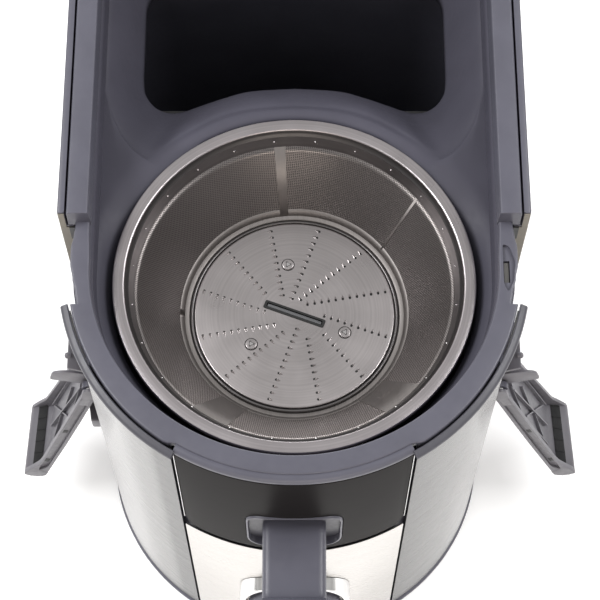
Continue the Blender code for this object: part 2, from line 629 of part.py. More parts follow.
# ---------------------------------------------------------------- pulp container
def build_container(slide):
    low, high = PLATE_Z + PLATE_T + 0.0008, TRAY_FOOT_Z - 0.0006
    half_x = SIDE_X - SIDE_T - 0.0008
    front_y = HOUSING_REAR_Y + 0.0030
    shape = prism("pulp_container", slide,
                  [rounded_rectangle((-half_x, half_x), (front_y, REAR_REACH - 0.0038), 0.012)],
                  low, high)
    corner = prism("container_corner", slide,
                   [rectangle((-0.15, 0.15), (0.1512, 0.25)),
                    arc((SIDE_X - REAR_CORNER_R, REAR_REACH - REAR_CORNER_R),
                        REAR_CORNER_R - 0.0038, 0, 90, 11)
                    + arc((REAR_CORNER_R - SIDE_X, REAR_REACH - REAR_CORNER_R),
                          REAR_CORNER_R - 0.0038, 90, 180, 11)
                    + [(-SIDE_X - 0.001, 0.1514), (SIDE_X + 0.001, 0.1514)]], 0.0, 0.30)
    room = prism("container_room", slide,
                 [rounded_rectangle((-half_x + 0.0025, half_x - 0.0025),
                                    (front_y + 0.0025, 0.1560), 0.010)],
                 low + 0.0030, 0.30)
    back = prism("container_back", slide,
                 [rounded_rectangle((-0.0780, 0.0780), (0.1500, REAR_REACH - 0.0070), 0.020)],
                 low + 0.0030, 0.30)
    skin(cut(shape, corner, room, back), "black_plastic", 30)

    outer = (arc((SIDE_X - REAR_CORNER_R, REAR_REACH - REAR_CORNER_R), REAR_CORNER_R, 0, 90, 13)
             + arc((REAR_CORNER_R - SIDE_X, REAR_REACH - REAR_CORNER_R), REAR_CORNER_R, 90, 180,
                   13))
    inner_r = REAR_CORNER_R - 0.0032
    inner = (arc((REAR_CORNER_R - SIDE_X, REAR_REACH - REAR_CORNER_R), inner_r, 180, 90, 13)
             + arc((SIDE_X - REAR_CORNER_R, REAR_REACH - REAR_CORNER_R), inner_r, 90, 0, 13))
    cover = prism("container_cover", slide, [outer + inner], low, high)
    grip = prism("cover_grip", slide,
                 [rounded_rectangle((-0.045, 0.045), (0.205, 0.228), 0.008)],
                 REAR_REACH - 0.0015, 0.22, axis="Y")
    skin(cut(cover, grip), "grey_plastic", 30)


# ---------------------------------------------------------------- latches
def build_hinge(base, side, name):
    """Bracket on the motor base: two ears around the latch's pin, and a bar above them."""
    back, front = side * (HOUSING_R + 0.0003), side * (HOUSING_R + 0.0025)
    eye_r = 0.0040
    top_z = PIVOT_Z + 0.0300
    start, end = (270, 450) if side > 0 else (270, 90)
    ear = ([(back, top_z), (back, PIVOT_Z - eye_r)]
           + arc((side * PIVOT_X, PIVOT_Z), eye_r, start, end, 13)
           + [(front, PIVOT_Z + eye_r), (front, top_z)])
    bore = arc((side * PIVOT_X, PIVOT_Z), PIN_R + GAP, 0, 342, 20)
    bracket, other = [prism(f"hinge_bracket_{name}" if y < 0 else f"ear_{name}", base, [ear, bore],
                            y - 0.0015, y + 0.0015, axis="Y") for y in (-0.0152, 0.0152)]
    bar = box(f"bar_{name}", base, sorted((back * 1.002, front * 0.998)), (-0.0160, 0.0160),
              (top_z - 0.0030, top_z + 0.0030))
    skin(join(bracket, bar, other), "grey_plastic", 40)


def build_latch(pivot, side, name):
    """Latch in its pivot's frame: closed, it stands along +Z with its outer face outward."""
    def inward(points):
        """Turn (distance inward from the pivot, height) into this side's X and Z."""
        return [(-side * reach, height) for reach, height in points]

    half, wall = LATCH_W / 2, 0.0024
    back, face, edge = -LATCH_BACK, LATCH_SKIN - LATCH_BACK, 0.0028
    start, tip = 0.0085, LATCH_LEN
    section = [(-side * x, y) for x, y in
               ((back, -half), (edge, -half), (edge, wall - half), (face, wall - half),
                (face, half - wall), (edge, half - wall), (edge, half), (back, half))]
    latch = prism(f"latch_{name}", pivot, [section], start, tip - 0.0180)
    lip = prism(f"lip_{name}", pivot,
                [inward([(back - GAP, tip - 0.0200), (face + GAP, tip - 0.0200),
                         (face + GAP, tip - 0.0090), (0.0070, tip - 0.0060), (0.0080, tip - 0.0045),
                         (0.0078, tip - 0.0020), (back - GAP, tip)])],
                -half - 0.0004, half + 0.0004, axis="Y")
    pieces = [lip]
    for end in (-1, 1):
        y = end * (half - wall / 2)
        cheek = inward(arc((0, 0), 0.0034, 180, 360, 13) + [(0.0026, 0.0180), (-0.0042, 0.0180),
                                                      (-0.0042, 0.0060)])
        pieces.append(prism(f"cheek_{name}_{end}", pivot, [cheek], y - 0.0010, y + 0.0010,
                            axis="Y"))
    heel = inward([(-0.0042, 0.0100), (-0.0042, -0.0100), (0.0110, -0.0100), (0.0110, -0.0080),
                   (-0.0026, -0.0080), (-0.0026, 0.0100)])
    pieces.append(prism(f"heel_{name}", pivot, [heel], -0.0130, 0.0130, axis="Y"))
    lug = inward([(-0.0040, -0.0090), (0.0170, -0.0090), (0.0195, -0.0060), (0.0195, 0.0050),
                  (-0.0040, 0.0050)])
    pieces.append(prism(f"lug_{name}", pivot, [lug], -0.0132, -0.0106, axis="Y"))
    rib = inward([(-0.0030, 0.0560), (0.0005, 0.0560), (0.0005, 0.0575), (-0.0030, 0.0575)])
    pieces.append(prism(f"rib_{name}", pivot, [rib], -half + 0.001, half - 0.001, axis="Y"))
    bore = rod(f"latch_bore_{name}", pivot, (0, 0, 0), PIN_R + GAP, 0.06, "Y", 20)
    skin(cut(join(latch, *pieces), bore), "grey_plastic", 40)
    pad = prism(f"grip_pad_{name}", pivot,
                [inward([(-0.0018, tip - 0.0195), (-0.0006, tip - 0.0195), (-0.0006, tip - 0.0100),
                         (-0.0018, tip - 0.0100)])], -0.0160, 0.0160, axis="Y")
    skin(pad, "rubber")


# ---------------------------------------------------------------- assembly
def build():
    start()
    juicer = make_empty("juicer", None, (0, BASKET_Y, 0))
    build_base(juicer)
    build_covers(juicer)
    build_knob(juicer)
    build_motor(juicer)
    build_rotor(make_empty("rotor_axis", juicer))
    build_interlock(juicer, make_empty("interlock_slide", juicer))
    bowl = make_empty("bowl_lift", juicer)
    build_bowl(bowl)
    build_front(bowl)
    build_drip_flap(make_empty("flap_axis", bowl,
                               (0, SPOUT_MOUTH_Y - GAP - 0.0013, SPOUT_Z + SPOUT_H + 0.0030)))
    build_basket(make_empty("basket_axis", bowl))
    build_container(make_empty("container_slide", juicer))
    for side, name in ((-1, "left"), (1, "right")):
        build_hinge(juicer, side, name)
        pin = rod(f"latch_pin_{name}", juicer, (side * PIVOT_X, 0, PIVOT_Z), PIN_R, 0.0385, "Y", 16)
        skin(pin, "steel", 40)
        turn = side * (math.pi - OPEN_TILT[side])
        pivot = make_empty(f"latch_pivot_{name}", juicer, (side * PIVOT_X, 0, PIVOT_Z), turn)
        build_latch(pivot, side, name)


build()
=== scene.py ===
"""Looks for the centrifugal juicer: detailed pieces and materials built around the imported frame.

Shapes are drawn in millimetres around the basket's axis, with Z measured from the top of the
basket's rim. place() turns those into the frame's metres.
"""

import json
import math

import bmesh
import bpy
from mathutils import Matrix, Vector


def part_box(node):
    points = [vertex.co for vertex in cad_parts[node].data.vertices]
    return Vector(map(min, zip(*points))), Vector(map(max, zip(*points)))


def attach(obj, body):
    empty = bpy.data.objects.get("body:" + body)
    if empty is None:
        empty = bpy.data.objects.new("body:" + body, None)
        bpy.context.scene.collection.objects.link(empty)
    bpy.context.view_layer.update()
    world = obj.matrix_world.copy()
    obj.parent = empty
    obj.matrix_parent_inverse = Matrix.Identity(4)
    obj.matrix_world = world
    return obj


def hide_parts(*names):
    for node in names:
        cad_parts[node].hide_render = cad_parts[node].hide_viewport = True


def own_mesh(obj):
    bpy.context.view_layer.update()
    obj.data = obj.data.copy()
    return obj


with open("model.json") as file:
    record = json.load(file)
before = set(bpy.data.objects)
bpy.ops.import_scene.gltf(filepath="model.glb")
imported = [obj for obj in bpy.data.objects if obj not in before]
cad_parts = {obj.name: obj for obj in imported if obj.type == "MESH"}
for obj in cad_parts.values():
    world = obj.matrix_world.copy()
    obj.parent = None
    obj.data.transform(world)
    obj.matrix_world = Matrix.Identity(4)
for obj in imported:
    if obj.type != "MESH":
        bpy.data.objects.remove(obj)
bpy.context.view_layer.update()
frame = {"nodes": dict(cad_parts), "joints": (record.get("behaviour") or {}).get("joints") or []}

MM = 0.001
RIM_LOW, RIM_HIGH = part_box("basket_rim")
AXIS_Y = (RIM_LOW.y + RIM_HIGH.y) / 2
RIM_Z = RIM_HIGH.z
TABLE = -RIM_Z / MM                 # height of the table in the script's own measure
JOINTS = {joint["name"]: joint for joint in frame["joints"]}
KNOB_Z = TABLE + 95.0
STEEL_IN, STEEL_OUT = 103.9, 104.9  # radii of the steel skin


def place(point):
    """From the script's millimetres to the frame's metres."""
    return (point[0] * MM, point[1] * MM + AXIS_Y, point[2] * MM + RIM_Z)


# ---------------------------------------------------------------- materials
class Look:
    """A procedural material, with short calls for its nodes."""

    def __init__(self, name, colour, rough, metal=0.0, coat=0.0, specular=0.5):
        self.material = bpy.data.materials.new(name)
        self.material.use_nodes = True
        self.tree = self.material.node_tree
        self.shader = self.tree.nodes["Principled BSDF"]
        self.colour = colour
        self.shader.inputs["Base Color"].default_value = (*colour, 1)
        self.shader.inputs["Roughness"].default_value = rough
        self.shader.inputs["Metallic"].default_value = metal
        self.shader.inputs["Coat Weight"].default_value = coat
        self.shader.inputs["Coat Roughness"].default_value = 0.12
        self.shader.inputs["Specular IOR Level"].default_value = specular

    def node(self, kind, **settings):
        made = self.tree.nodes.new(kind)
        for key, value in settings.items():
            setattr(made, key, value)
        return made

    def wire(self, source, target):
        self.tree.links.new(source, target)

    def position(self, scale=(1, 1, 1)):
        """Coordinates in millimetres around the basket's axis, stretched by scale."""
        coordinates = self.node("ShaderNodeTexCoord")
        mapping = self.node("ShaderNodeMapping")
        mapping.inputs["Location"].default_value = (0, -AXIS_Y / MM * scale[1], 0)
        mapping.inputs["Scale"].default_value = [s / MM for s in scale]
        self.wire(coordinates.outputs["Object"], mapping.inputs["Vector"])
        return mapping.outputs["Vector"]

    def noise(self, vector, scale, detail=3.0, kind="3D"):
        made = self.node("ShaderNodeTexNoise", noise_dimensions=kind)
        made.inputs["Scale"].default_value = scale
        made.inputs["Detail"].default_value = detail
        self.wire(vector, made.inputs["W" if kind == "1D" else "Vector"])
        return made.outputs["Fac"]

    def spread(self, value, low, high, to_low, to_high):
        """Map value's range [low, high] to [to_low, to_high]."""
        made = self.node("ShaderNodeMapRange")
        for key, number in (("From Min", low), ("From Max", high), ("To Min", to_low),
                            ("To Max", to_high)):
            made.inputs[key].default_value = number
        self.wire(value, made.inputs["Value"])
        return made.outputs["Result"]

    def shade(self, value, dark, light):
        """Base colour from dark to light, as shares of the look's colour."""
        mix = self.node("ShaderNodeMix", data_type="RGBA")
        mix.inputs[6].default_value = (*[c * dark for c in self.colour], 1)
        mix.inputs[7].default_value = (*[min(1, c * light) for c in self.colour], 1)
        self.wire(value, mix.inputs[0])
        self.wire(mix.outputs[2], self.shader.inputs["Base Color"])

    def rough(self, value, low, high):
        self.wire(self.spread(value, 0.3, 0.7, low, high), self.shader.inputs["Roughness"])

    def bump(self, height, strength, distance=0.02):
        made = self.node("ShaderNodeBump")
        made.inputs["Strength"].default_value = strength
        made.inputs["Distance"].default_value = distance * MM
        self.wire(height, made.inputs["Height"])
        self.wire(made.outputs["Normal"], self.shader.inputs["Normal"])


def plastic(name, colour, rough=0.42, grain=0.35, specular=0.5):
    """Moulded plastic: fine spark-eroded grain, faint mottling and slightly uneven gloss."""
    look = Look(name, colour, rough, specular=specular)
    spot = look.position()
    look.shade(look.spread(look.noise(spot, 0.045, 4), 0.35, 0.65, 0, 1), 0.95, 1.05)
    look.rough(look.noise(spot, 0.35, 3), rough - 0.05, rough + 0.06)
    look.bump(look.noise(spot, 2.6, 2), grain, 0.03)
    return look.material


def brushed(name, colour, rough=0.30, grain=0.25, stretch=(0.02, 0.02, 3.2)):
    """Sheet steel with brush lines; stretch says how fast the lines change along each axis."""
    look = Look(name, colour, rough, metal=1.0)
    lines = look.noise(look.position(stretch), 1.0, 5)
    look.shade(look.spread(lines, 0.3, 0.7, 0, 1), 0.90, 1.06)
    look.rough(lines, rough - 0.05, rough + 0.08)
    look.bump(lines, grain, 0.012)
    return look.material


def turned_steel(name, colour, rough=0.26, pitch=1.6, grain=0.25):
    """Steel finished on a lathe: rings around the basket's axis."""
    look = Look(name, colour, rough, metal=1.0)
    flat = look.node("ShaderNodeVectorMath", operation="MULTIPLY")
    flat.inputs[1].default_value = (1, 1, 0)
    look.wire(look.position(), flat.inputs[0])
    radius = look.node("ShaderNodeVectorMath", operation="LENGTH")
    look.wire(flat.outputs[0], radius.inputs[0])
    rings = look.noise(radius.outputs["Value"], pitch, 4, "1D")
    smear = look.noise(look.position(), 0.05, 3)
    look.shade(look.spread(rings, 0.3, 0.7, 0, 1), 0.93, 1.05)
    look.rough(smear, rough - 0.04, rough + 0.06)
    look.bump(rings, grain, 0.010)
    return look.material


def perforated(name, colour, hole_shade_colour, pitch=0.95, hole=0.30):
    """Fine perforated sheet: holes painted dark for the shade seen through them, and a painted
    reflection that lightens it towards its front; its UV map is the flat sheet in mm.
    """
    look = Look(name, colour, 0.34, metal=1.0)
    turned = look.node("ShaderNodeMapping")
    turned.inputs["Rotation"].default_value = (0, 0, math.radians(45))
    coordinates = look.node("ShaderNodeTexCoord")
    look.wire(coordinates.outputs["UV"], turned.inputs["Vector"])
    cells = look.node("ShaderNodeTexVoronoi", voronoi_dimensions="2D")
    cells.inputs["Scale"].default_value = 1 / pitch
    cells.inputs["Randomness"].default_value = 0.0
    look.wire(turned.outputs["Vector"], cells.inputs["Vector"])
    solid = look.spread(cells.outputs["Distance"], hole - 0.05, hole + 0.05, 0, 1)
    # Holes take the hole colour, painted dark for the shade seen through them.
    mix = look.node("ShaderNodeMix", data_type="RGBA")
    mix.inputs[6].default_value = (*hole_shade_colour, 1)
    mix.inputs[7].default_value = (*colour, 1)
    look.wire(solid, mix.inputs[0])
    parts = look.node("ShaderNodeSeparateXYZ")
    look.wire(look.position(), parts.inputs[0])
    # Painted reflection: the sheet's colour is scaled up to 2.5 times towards its front and to 0.88
    # further back.
    painted_reflection = look.node("ShaderNodeVectorMath", operation="SCALE")
    look.wire(mix.outputs[2], painted_reflection.inputs[0])
    look.wire(look.spread(parts.outputs[1], -75, -12, 2.5, 0.88), painted_reflection.inputs["Scale"])
    look.wire(painted_reflection.outputs[0], look.shader.inputs["Base Color"])
    look.wire(look.spread(solid, 0, 1, 0.9, 0.34), look.shader.inputs["Roughness"])
    look.wire(look.spread(solid, 0, 1, 0.2, 1.0), look.shader.inputs["Metallic"])
    look.bump(solid, 0.6, 0.12)
    return look.material


def body_steel(name, colour):
    """Brushed steel with painted reflection across X: painted shade towards the edges beside the
    dark panel, painted light towards the far sides.
    """
    look = Look(name, colour, 0.27, metal=1.0)
    lines = look.noise(look.position((0.02, 0.02, 3.2)), 1.0, 5)
    parts = look.node("ShaderNodeSeparateXYZ")
    look.wire(look.position(), parts.inputs[0])
    # Painted shade and painted light: a ramp of brightness by X, darkest beside the panel.
    ramp = look.node("ShaderNodeValToRGB")
    stops = ((-105, 0.60), (-82, 0.57), (-74, 0.36), (-67, 0.32), (-64.5, 0.24), (-62.5, 0.12),
             (-54, 0.12), (54, 0.10), (56, 0.16), (66, 0.21), (80, 0.31), (95, 0.60), (105, 0.68))
    points = ramp.color_ramp.elements
    while len(points) < len(stops):
        points.new(0.5)
    for point, (x, value) in zip(points, stops):
        point.position = (x + 110) / 220
    for point, (x, value) in zip(points, stops):
        point.color = (value, value, value, 1)
    look.wire(look.spread(parts.outputs[0], -110, 110, 0, 1), ramp.inputs[0])
    # Brush lines times the painted reflection ramp.
    grain = look.node("ShaderNodeMath", operation="MULTIPLY")
    look.wire(look.spread(lines, 0.3, 0.7, 0.92, 1.0), grain.inputs[0])
    look.wire(ramp.outputs[0], grain.inputs[1])
    look.shade(grain.outputs[0], 0.08, 1.05)
    look.rough(lines, 0.22, 0.35)
    look.bump(lines, 0.2, 0.012)
    return look.material


def lined_panel(name, colour):
    """Dark panel with faint lines across it."""
    look = Look(name, colour, 0.40, specular=0.02)
    lines = look.noise(look.position((0.02, 0.02, 2.4)), 1.0, 4)
    look.shade(look.spread(lines, 0.3, 0.7, 0, 1), 0.85, 1.12)
    look.bump(lines, 0.12, 0.01)
    return look.material


BODY_STEEL = body_steel("body_steel", (0.66, 0.65, 0.65))
GREY = plastic("grey_plastic", (0.090, 0.089, 0.114), 0.38)
# Painted shade: a darker copy of the grey plastic for the bowl's well.
WELL_GREY_PAINTED_SHADE = plastic("grey_plastic_well_painted_shade", (0.072, 0.070, 0.091), 0.46, specular=0.16)
# Painted warm light: a beige colour for the side walls' front faces.
PAINTED_WARM_LIGHT = plastic("painted_warm_light_plastic", (0.20, 0.18, 0.145), 0.5)
# Painted shade: a darker copy of the grey plastic for the side bands' sloping tops and the spout's
# recess.
DARKER_GREY_PAINTED_SHADE = plastic("darker_grey_painted_shade", (0.070, 0.069, 0.083), 0.36)
LATCH = plastic("latch_plastic", (0.128, 0.123, 0.139), 0.42)
BLACK = plastic("black_plastic", (0.010, 0.010, 0.011), 0.38)
# Painted shade: near black for the insides of holes, slots and grooves.
PAINTED_HOLE_SHADE = plastic("painted_hole_shade_black", (0.006, 0.006, 0.006), 0.55)
PANEL = lined_panel("dark_panel", (0.012, 0.0105, 0.0105))
STEEL = brushed("brushed_steel", (0.62, 0.60, 0.58), 0.27)
BRIGHT = brushed("bright_edge", (0.80, 0.79, 0.78), 0.16, 0.08)
RIM = turned_steel("turned_steel", (0.50, 0.465, 0.475), 0.30, 1.2, 0.12)
DISC = turned_steel("disc_steel", (0.50, 0.467, 0.467), 0.30, 0.9, 0.05)
# Painted highlight: a brighter steel than the disc's, for the teeth, weld dots and screw glints.
PAINTED_GLINT_STEEL = brushed("painted_glint_steel", (0.80, 0.78, 0.78), 0.16, 0.1, (0.8, 0.8, 0.8))
TONGUE = plastic("tongue_grey", (0.13, 0.125, 0.12), 0.4)
# Painted shade: two darker copies of the rim's turned steel, the first for the basket's band, the
# disc's collar and the screws' recesses, the second for the rim's inner step.
PAINTED_SHADE_STEEL = turned_steel("painted_shade_steel", (0.17, 0.16, 0.16), 0.32, 1.2, 0.2)
PAINTED_DEEP_SHADE_STEEL = turned_steel("painted_deep_shade_steel", (0.085, 0.080, 0.080), 0.42, 1.2, 0.2)
SEAM = brushed("seam_steel", (0.24, 0.222, 0.214), 0.50, 0.2, (2.0, 0.05, 0.05))
MESH = perforated("perforated_steel", (0.25, 0.228, 0.222), (0.014, 0.013, 0.012))
RUBBER = plastic("rubber", (0.016, 0.016, 0.017), 0.75, 0.5, 0.3)
COPPER = brushed("copper_winding", (0.60, 0.27, 0.14), 0.34, 0.5, (0.05, 0.05, 4.0))
IRON = plastic("dark_iron", (0.10, 0.10, 0.105), 0.55, 0.6)
BOARD = plastic("circuit_board", (0.02, 0.12, 0.05), 0.5)


# ---------------------------------------------------------------- shapes: (vertices, faces)
def loft(rings, wrap=True):
    """Skin over rings of equal length; wrap closes each ring."""
    count = len(rings[0])
    verts = [point for ring in rings for point in ring]
    faces = []
    for r in range(len(rings) - 1):
        for i in range(count if wrap else count - 1):
            j = (i + 1) % count
            faces.append((r * count + i, r * count + j, (r + 1) * count + j, (r + 1) * count + i))
    return verts, faces


def capped(rings):
    """A loft of closed rings with both ends filled."""
    verts, faces = loft(rings)
    count = len(rings[0])
    faces.append(tuple(range(count)))
    faces.append(tuple(range(len(verts) - count, len(verts))))
    return verts, faces


def lathe(profile, count=144, closed=True, centre=(0, 0)):
    """Turn a profile of (radius, height) once around Z."""
    rings = []
    for i in range(count + 1):
        t = math.tau * i / count
        rings.append([(centre[0] + r * math.cos(t), centre[1] + r * math.sin(t), z)
                      for r, z in profile])
    return loft(rings, wrap=closed)


def rail(pairs, section):
    """Run a section along pairs of (inner, outer) points.

    The section is a loop of (side, offset, height), the offset going from that side inward.
    """
    rings = []
    for (ix, iy), (ox, oy) in pairs:
        dx, dy = ox - ix, oy - iy
        size = math.hypot(dx, dy)
        dx, dy = dx / size, dy / size
        rings.append([(ix + dx * o, iy + dy * o, z) if side == "i"
                      else (ox - dx * o, oy - dy * o, z) for side, o, z in section])
    return capped(rings)


def slab(outline, low, high):
    """An outline raised from one height to another."""
    return capped([[(x, y, low) for x, y in outline], [(x, y, high) for x, y in outline]])


def pillow(outline, low, high, edge=0.5, steps=3):
    """A slab whose top and bottom edges are rounded, for outlines around the origin's side."""
    cx = sum(p[0] for p in outline) / len(outline)
    cy = sum(p[1] for p in outline) / len(outline)
    reach = max(math.hypot(x - cx, y - cy) for x, y in outline)
    rings = []
    turns = [math.pi / 2 * i / steps for i in range(steps + 1)]
    for side, base in ((-1, low + edge), (1, high - edge)):
        for t in turns[::-1] if side < 0 else turns:
            share = 1 - edge * (1 - math.cos(t)) / reach
            rings.append([(cx + (x - cx) * share, cy + (y - cy) * share,
                           base + side * edge * math.sin(t)) for x, y in outline])
    return capped(rings)


def oblong(half, low, high):
    """Corners of a rectangle that is centred on zero across and goes from low to high."""
    return [(-half, low), (half, low), (half, high), (-half, high)]


def polar(radius, turn, *height):
    """The point at a bearing in radians, with its height where one is given."""
    return (radius * math.cos(turn), radius * math.sin(turn), *height)


def block(x, y, z):
    """A box between two values of X, of Y and of Z."""
    return slab([(x[0], y[0]), (x[1], y[0]), (x[1], y[1]), (x[0], y[1])], z[0], z[1])


def swapped(shape, order):
    """Permute a shape's axes: order names where the new X, Y and Z come from."""
    verts, faces = shape
    return [tuple(v["xyz".index(k)] for k in order) for v in verts], faces


def moved(shape, matrix):
    verts, faces = shape
    return [tuple(matrix @ Vector(v)) for v in verts], faces


def together(*shapes):
    """Several shapes as one."""
    verts, faces = [], []
    for more, their in shapes:
        start = len(verts)
        verts += more
        faces += [tuple(start + i for i in face) for face in their]
    return verts, faces


def arc(cx, cy, radius, start, end, count):
    """Arc between two angles in degrees, both ends included."""
    turns = [math.radians(start + (end - start) * i / (count - 1)) for i in range(count)]
    return [(cx + radius * math.cos(t), cy + radius * math.sin(t)) for t in turns]


def shrunk(points, inset):
    """A closed outline moved inward along its corners' bisectors."""
    if not inset:
        return points
    area = sum(a[0] * b[1] - b[0] * a[1] for a, b in zip(points, points[1:] + points[:1]))
    turn = 1 if area > 0 else -1
    out = []
    for i, here in enumerate(points):
        before, after = points[i - 1], points[(i + 1) % len(points)]
        a = Vector((here[0] - before[0], here[1] - before[1])).normalized()
        b = Vector((after[0] - here[0], after[1] - here[1])).normalized()
        normal = Vector((-(a.y + b.y), a.x + b.x)) * turn
        if normal.length < 1e-6:
            out.append(here)
            continue
        normal.normalize()
        cosine = max(0.5, abs(normal.dot(Vector((-a.y, a.x)))))
        out.append((here[0] + normal.x * inset / cosine, here[1] + normal.y * inset / cosine))
    return out


def rounded(points, radius, steps=5):
    """Round the corners of a closed outline."""
    out = []
    for i, corner in enumerate(points):
        before, after = Vector(points[i - 1]), Vector(points[(i + 1) % len(points)])
        here = Vector(corner)
        size = radius[i] if isinstance(radius, (list, tuple)) else radius
        if size <= 0:
            out.append(tuple(here))
            continue
        start = here + (before - here).normalized() * min(size, (before - here).length / 2.01)
        end = here + (after - here).normalized() * min(size, (after - here).length / 2.01)
        for k in range(steps + 1):
            t = k / steps
            out.append(tuple(start * (1 - t) ** 2 + here * 2 * t * (1 - t) + end * t * t))
    return out


def spline(points, per=10):
    """Catmull-Rom curve through points."""
    out = []
    for i in range(len(points) - 1):
        p = [Vector(points[max(0, min(len(points) - 1, k))]) for k in (i - 1, i, i + 1, i + 2)]
        for k in range(per):
            t = k / per
            out.append(tuple(0.5 * (2 * p[1] + (p[2] - p[0]) * t
                                    + (2 * p[0] - 5 * p[1] + 4 * p[2] - p[3]) * t * t
                                    + (3 * p[1] - p[0] - 3 * p[2] + p[3]) * t ** 3)))
    return out + [tuple(points[-1])]


def resample(points, count):
    """The same curve with count points at equal distances."""
    sizes = [0.0]
    for a, b in zip(points, points[1:]):
        sizes.append(sizes[-1] + math.dist(a, b))
    out, k = [], 0
    for i in range(count):
        want = sizes[-1] * i / (count - 1)
        while k < len(points) - 2 and sizes[k + 1] < want:
            k += 1
        t = (want - sizes[k]) / max(sizes[k + 1] - sizes[k], 1e-9)
        out.append(tuple(a + (b - a) * t for a, b in zip(points[k], points[k + 1])))
    return out


def mirrored(points):
    """Close a right-hand curve that starts and ends on X = 0 with its mirror image."""
    return points + [(-p[0], *p[1:]) for p in points[-2:0:-1]]


def ease(value, low, high):
    """A smooth step from 0 at low to 1 at high."""
    t = max(0.0, min(1.0, (value - low) / (high - low)))
    return t * t * (3 - 2 * t)


def mix(a, b, t):
    return tuple(p + (q - p) * t for p, q in zip(a, b))


# ---------------------------------------------------------------- pieces
def welded(name, shape, where):
    """A new mesh of the shape, and a bmesh of it with its doubled points joined."""
    verts, faces = shape
    mesh = bpy.data.meshes.new(name)
    mesh.from_pydata([where(v) for v in verts], [], faces)
    work = bmesh.new()
    work.from_mesh(mesh)
    bmesh.ops.remove_doubles(work, verts=work.verts, dist=2e-6)
    return mesh, work


def linked(name, data):
    """A new object in the scene."""
    item = bpy.data.objects.new(name, data)
    bpy.context.scene.collection.objects.link(item)
    return item


def add(name, shape, look, body, nodes=(), smooth=38, thick=0.0, bevel=0.0, flip=None,
        where=place):
    """Make a piece: it rides on the body, takes the look as its material, and stands for the nodes.

    thick gives an open sheet its thickness, against the side it faces; flip is a point that an
    open sheet has to face.
    """
    mesh, work = welded(name, shape, where)
    bmesh.ops.dissolve_degenerate(work, edges=work.edges, dist=1e-6)
    bmesh.ops.recalc_face_normals(work, faces=work.faces)
    if flip is not None:
        goal = Vector(where(flip))
        votes = sum(math.copysign(f.calc_area(), f.normal.dot(goal - f.calc_center_median()))
                    for f in work.faces)
        if votes < 0:
            bmesh.ops.reverse_faces(work, faces=work.faces)
    work.to_mesh(mesh)
    work.free()
    item = linked(name, mesh)
    mesh.materials.append(look)
    mesh.shade_smooth()
    mesh.set_sharp_from_angle(angle=math.radians(smooth))
    if thick:
        wall = item.modifiers.new("wall", "SOLIDIFY")
        wall.thickness = thick * MM
        wall.offset = -1
    if bevel:
        edge = item.modifiers.new("edge", "BEVEL")
        edge.width = bevel * MM
        edge.segments = 3
        edge.limit_method = "ANGLE"
        edge.angle_limit = math.radians(35)
        edge.harden_normals = True
    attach(item, body)
    if nodes:
        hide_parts(*nodes)
    return item


def carve(item, shape, where=place):
    """Cut a closed shape out of a piece."""
    mesh, work = welded("carver", shape, where)
    bmesh.ops.recalc_face_normals(work, faces=work.faces)
    work.to_mesh(mesh)
    work.free()
    carver = linked("carver", mesh)
    held = list(item.modifiers)
    change = item.modifiers.new("carve", "BOOLEAN")
    change.operation = "DIFFERENCE"
    change.solver = "EXACT"
    change.object = carver
    shown = [m.show_viewport for m in held]
    for m in held:
        m.show_viewport = False
    bpy.context.view_layer.update()
    seen = item.evaluated_get(bpy.context.evaluated_depsgraph_get())
    item.data = bpy.data.meshes.new_from_object(seen)
    item.modifiers.remove(change)
    for m, state in zip(held, shown):
        m.show_viewport = state
    bpy.data.objects.remove(carver)


def dress(look, *nodes):
    """Give carried-over frame nodes a better material."""
    for node in nodes:
        item = frame["nodes"][node]
        item.data.materials.clear()
        item.data.materials.append(look)


# ---------------------------------------------------------------- juice bowl
REAR_FLANGE = 29.0                  # top of the rear flange above the rim
GAP_Y = 20.6                        # half the gap that each latch closes into
WALL_FOOT = 0.0                     # crease at the foot of the tray's walls
HOLE_Z = -25.0
FOOT_R = 85.9                       # where the slope starts, close round the basket's rim


def gap_edge(y):
    """Outer edge of the flange inside a latch's gap."""
    marks = [(-20.6, 98.5), (-14, 99.5), (-8, 101.0), (0, 102.4), (8, 102.4), (13, 101.4),
             (20.7, 100.7)]
    for (ya, xa), (yb, xb) in zip(marks, marks[1:]):
        if ya <= y <= yb:
            return xa + (xb - xa) * ease(y, ya, yb)
    return marks[-1][1]


def flange_radius(turn):
    """Inner radius of the front flange: a little less right at the front than at the sides."""
    return 93.5 - 1.2 * ease(-math.sin(math.radians(turn)), 0.4, 1.0)


def flange_inner(y):
    """Inner edge of the flange beside the basket, where the front half circle meets the tray."""
    if y < 0:
        return math.sqrt(93.5 ** 2 - y * y)
    return 93.5 + 0.8 * ease(y, 0, 20)


def front_pairs(step, half, outer):
    """Inner and outer points of the flange from the right latch gap round the front to the left."""
    pairs = []
    for i in range(step + 1):
        inner_turn = -12.9 - 154.2 * i / step
        outer_turn = -11.5 - 157.0 * i / step
        near = ease(half + 3 - abs(outer_turn + 90), 0, 3)
        pairs.append([polar(r, math.radians(t)) for r, t in
                      ((flange_radius(inner_turn), inner_turn), (103.5 - outer * near, outer_turn))])
    return pairs


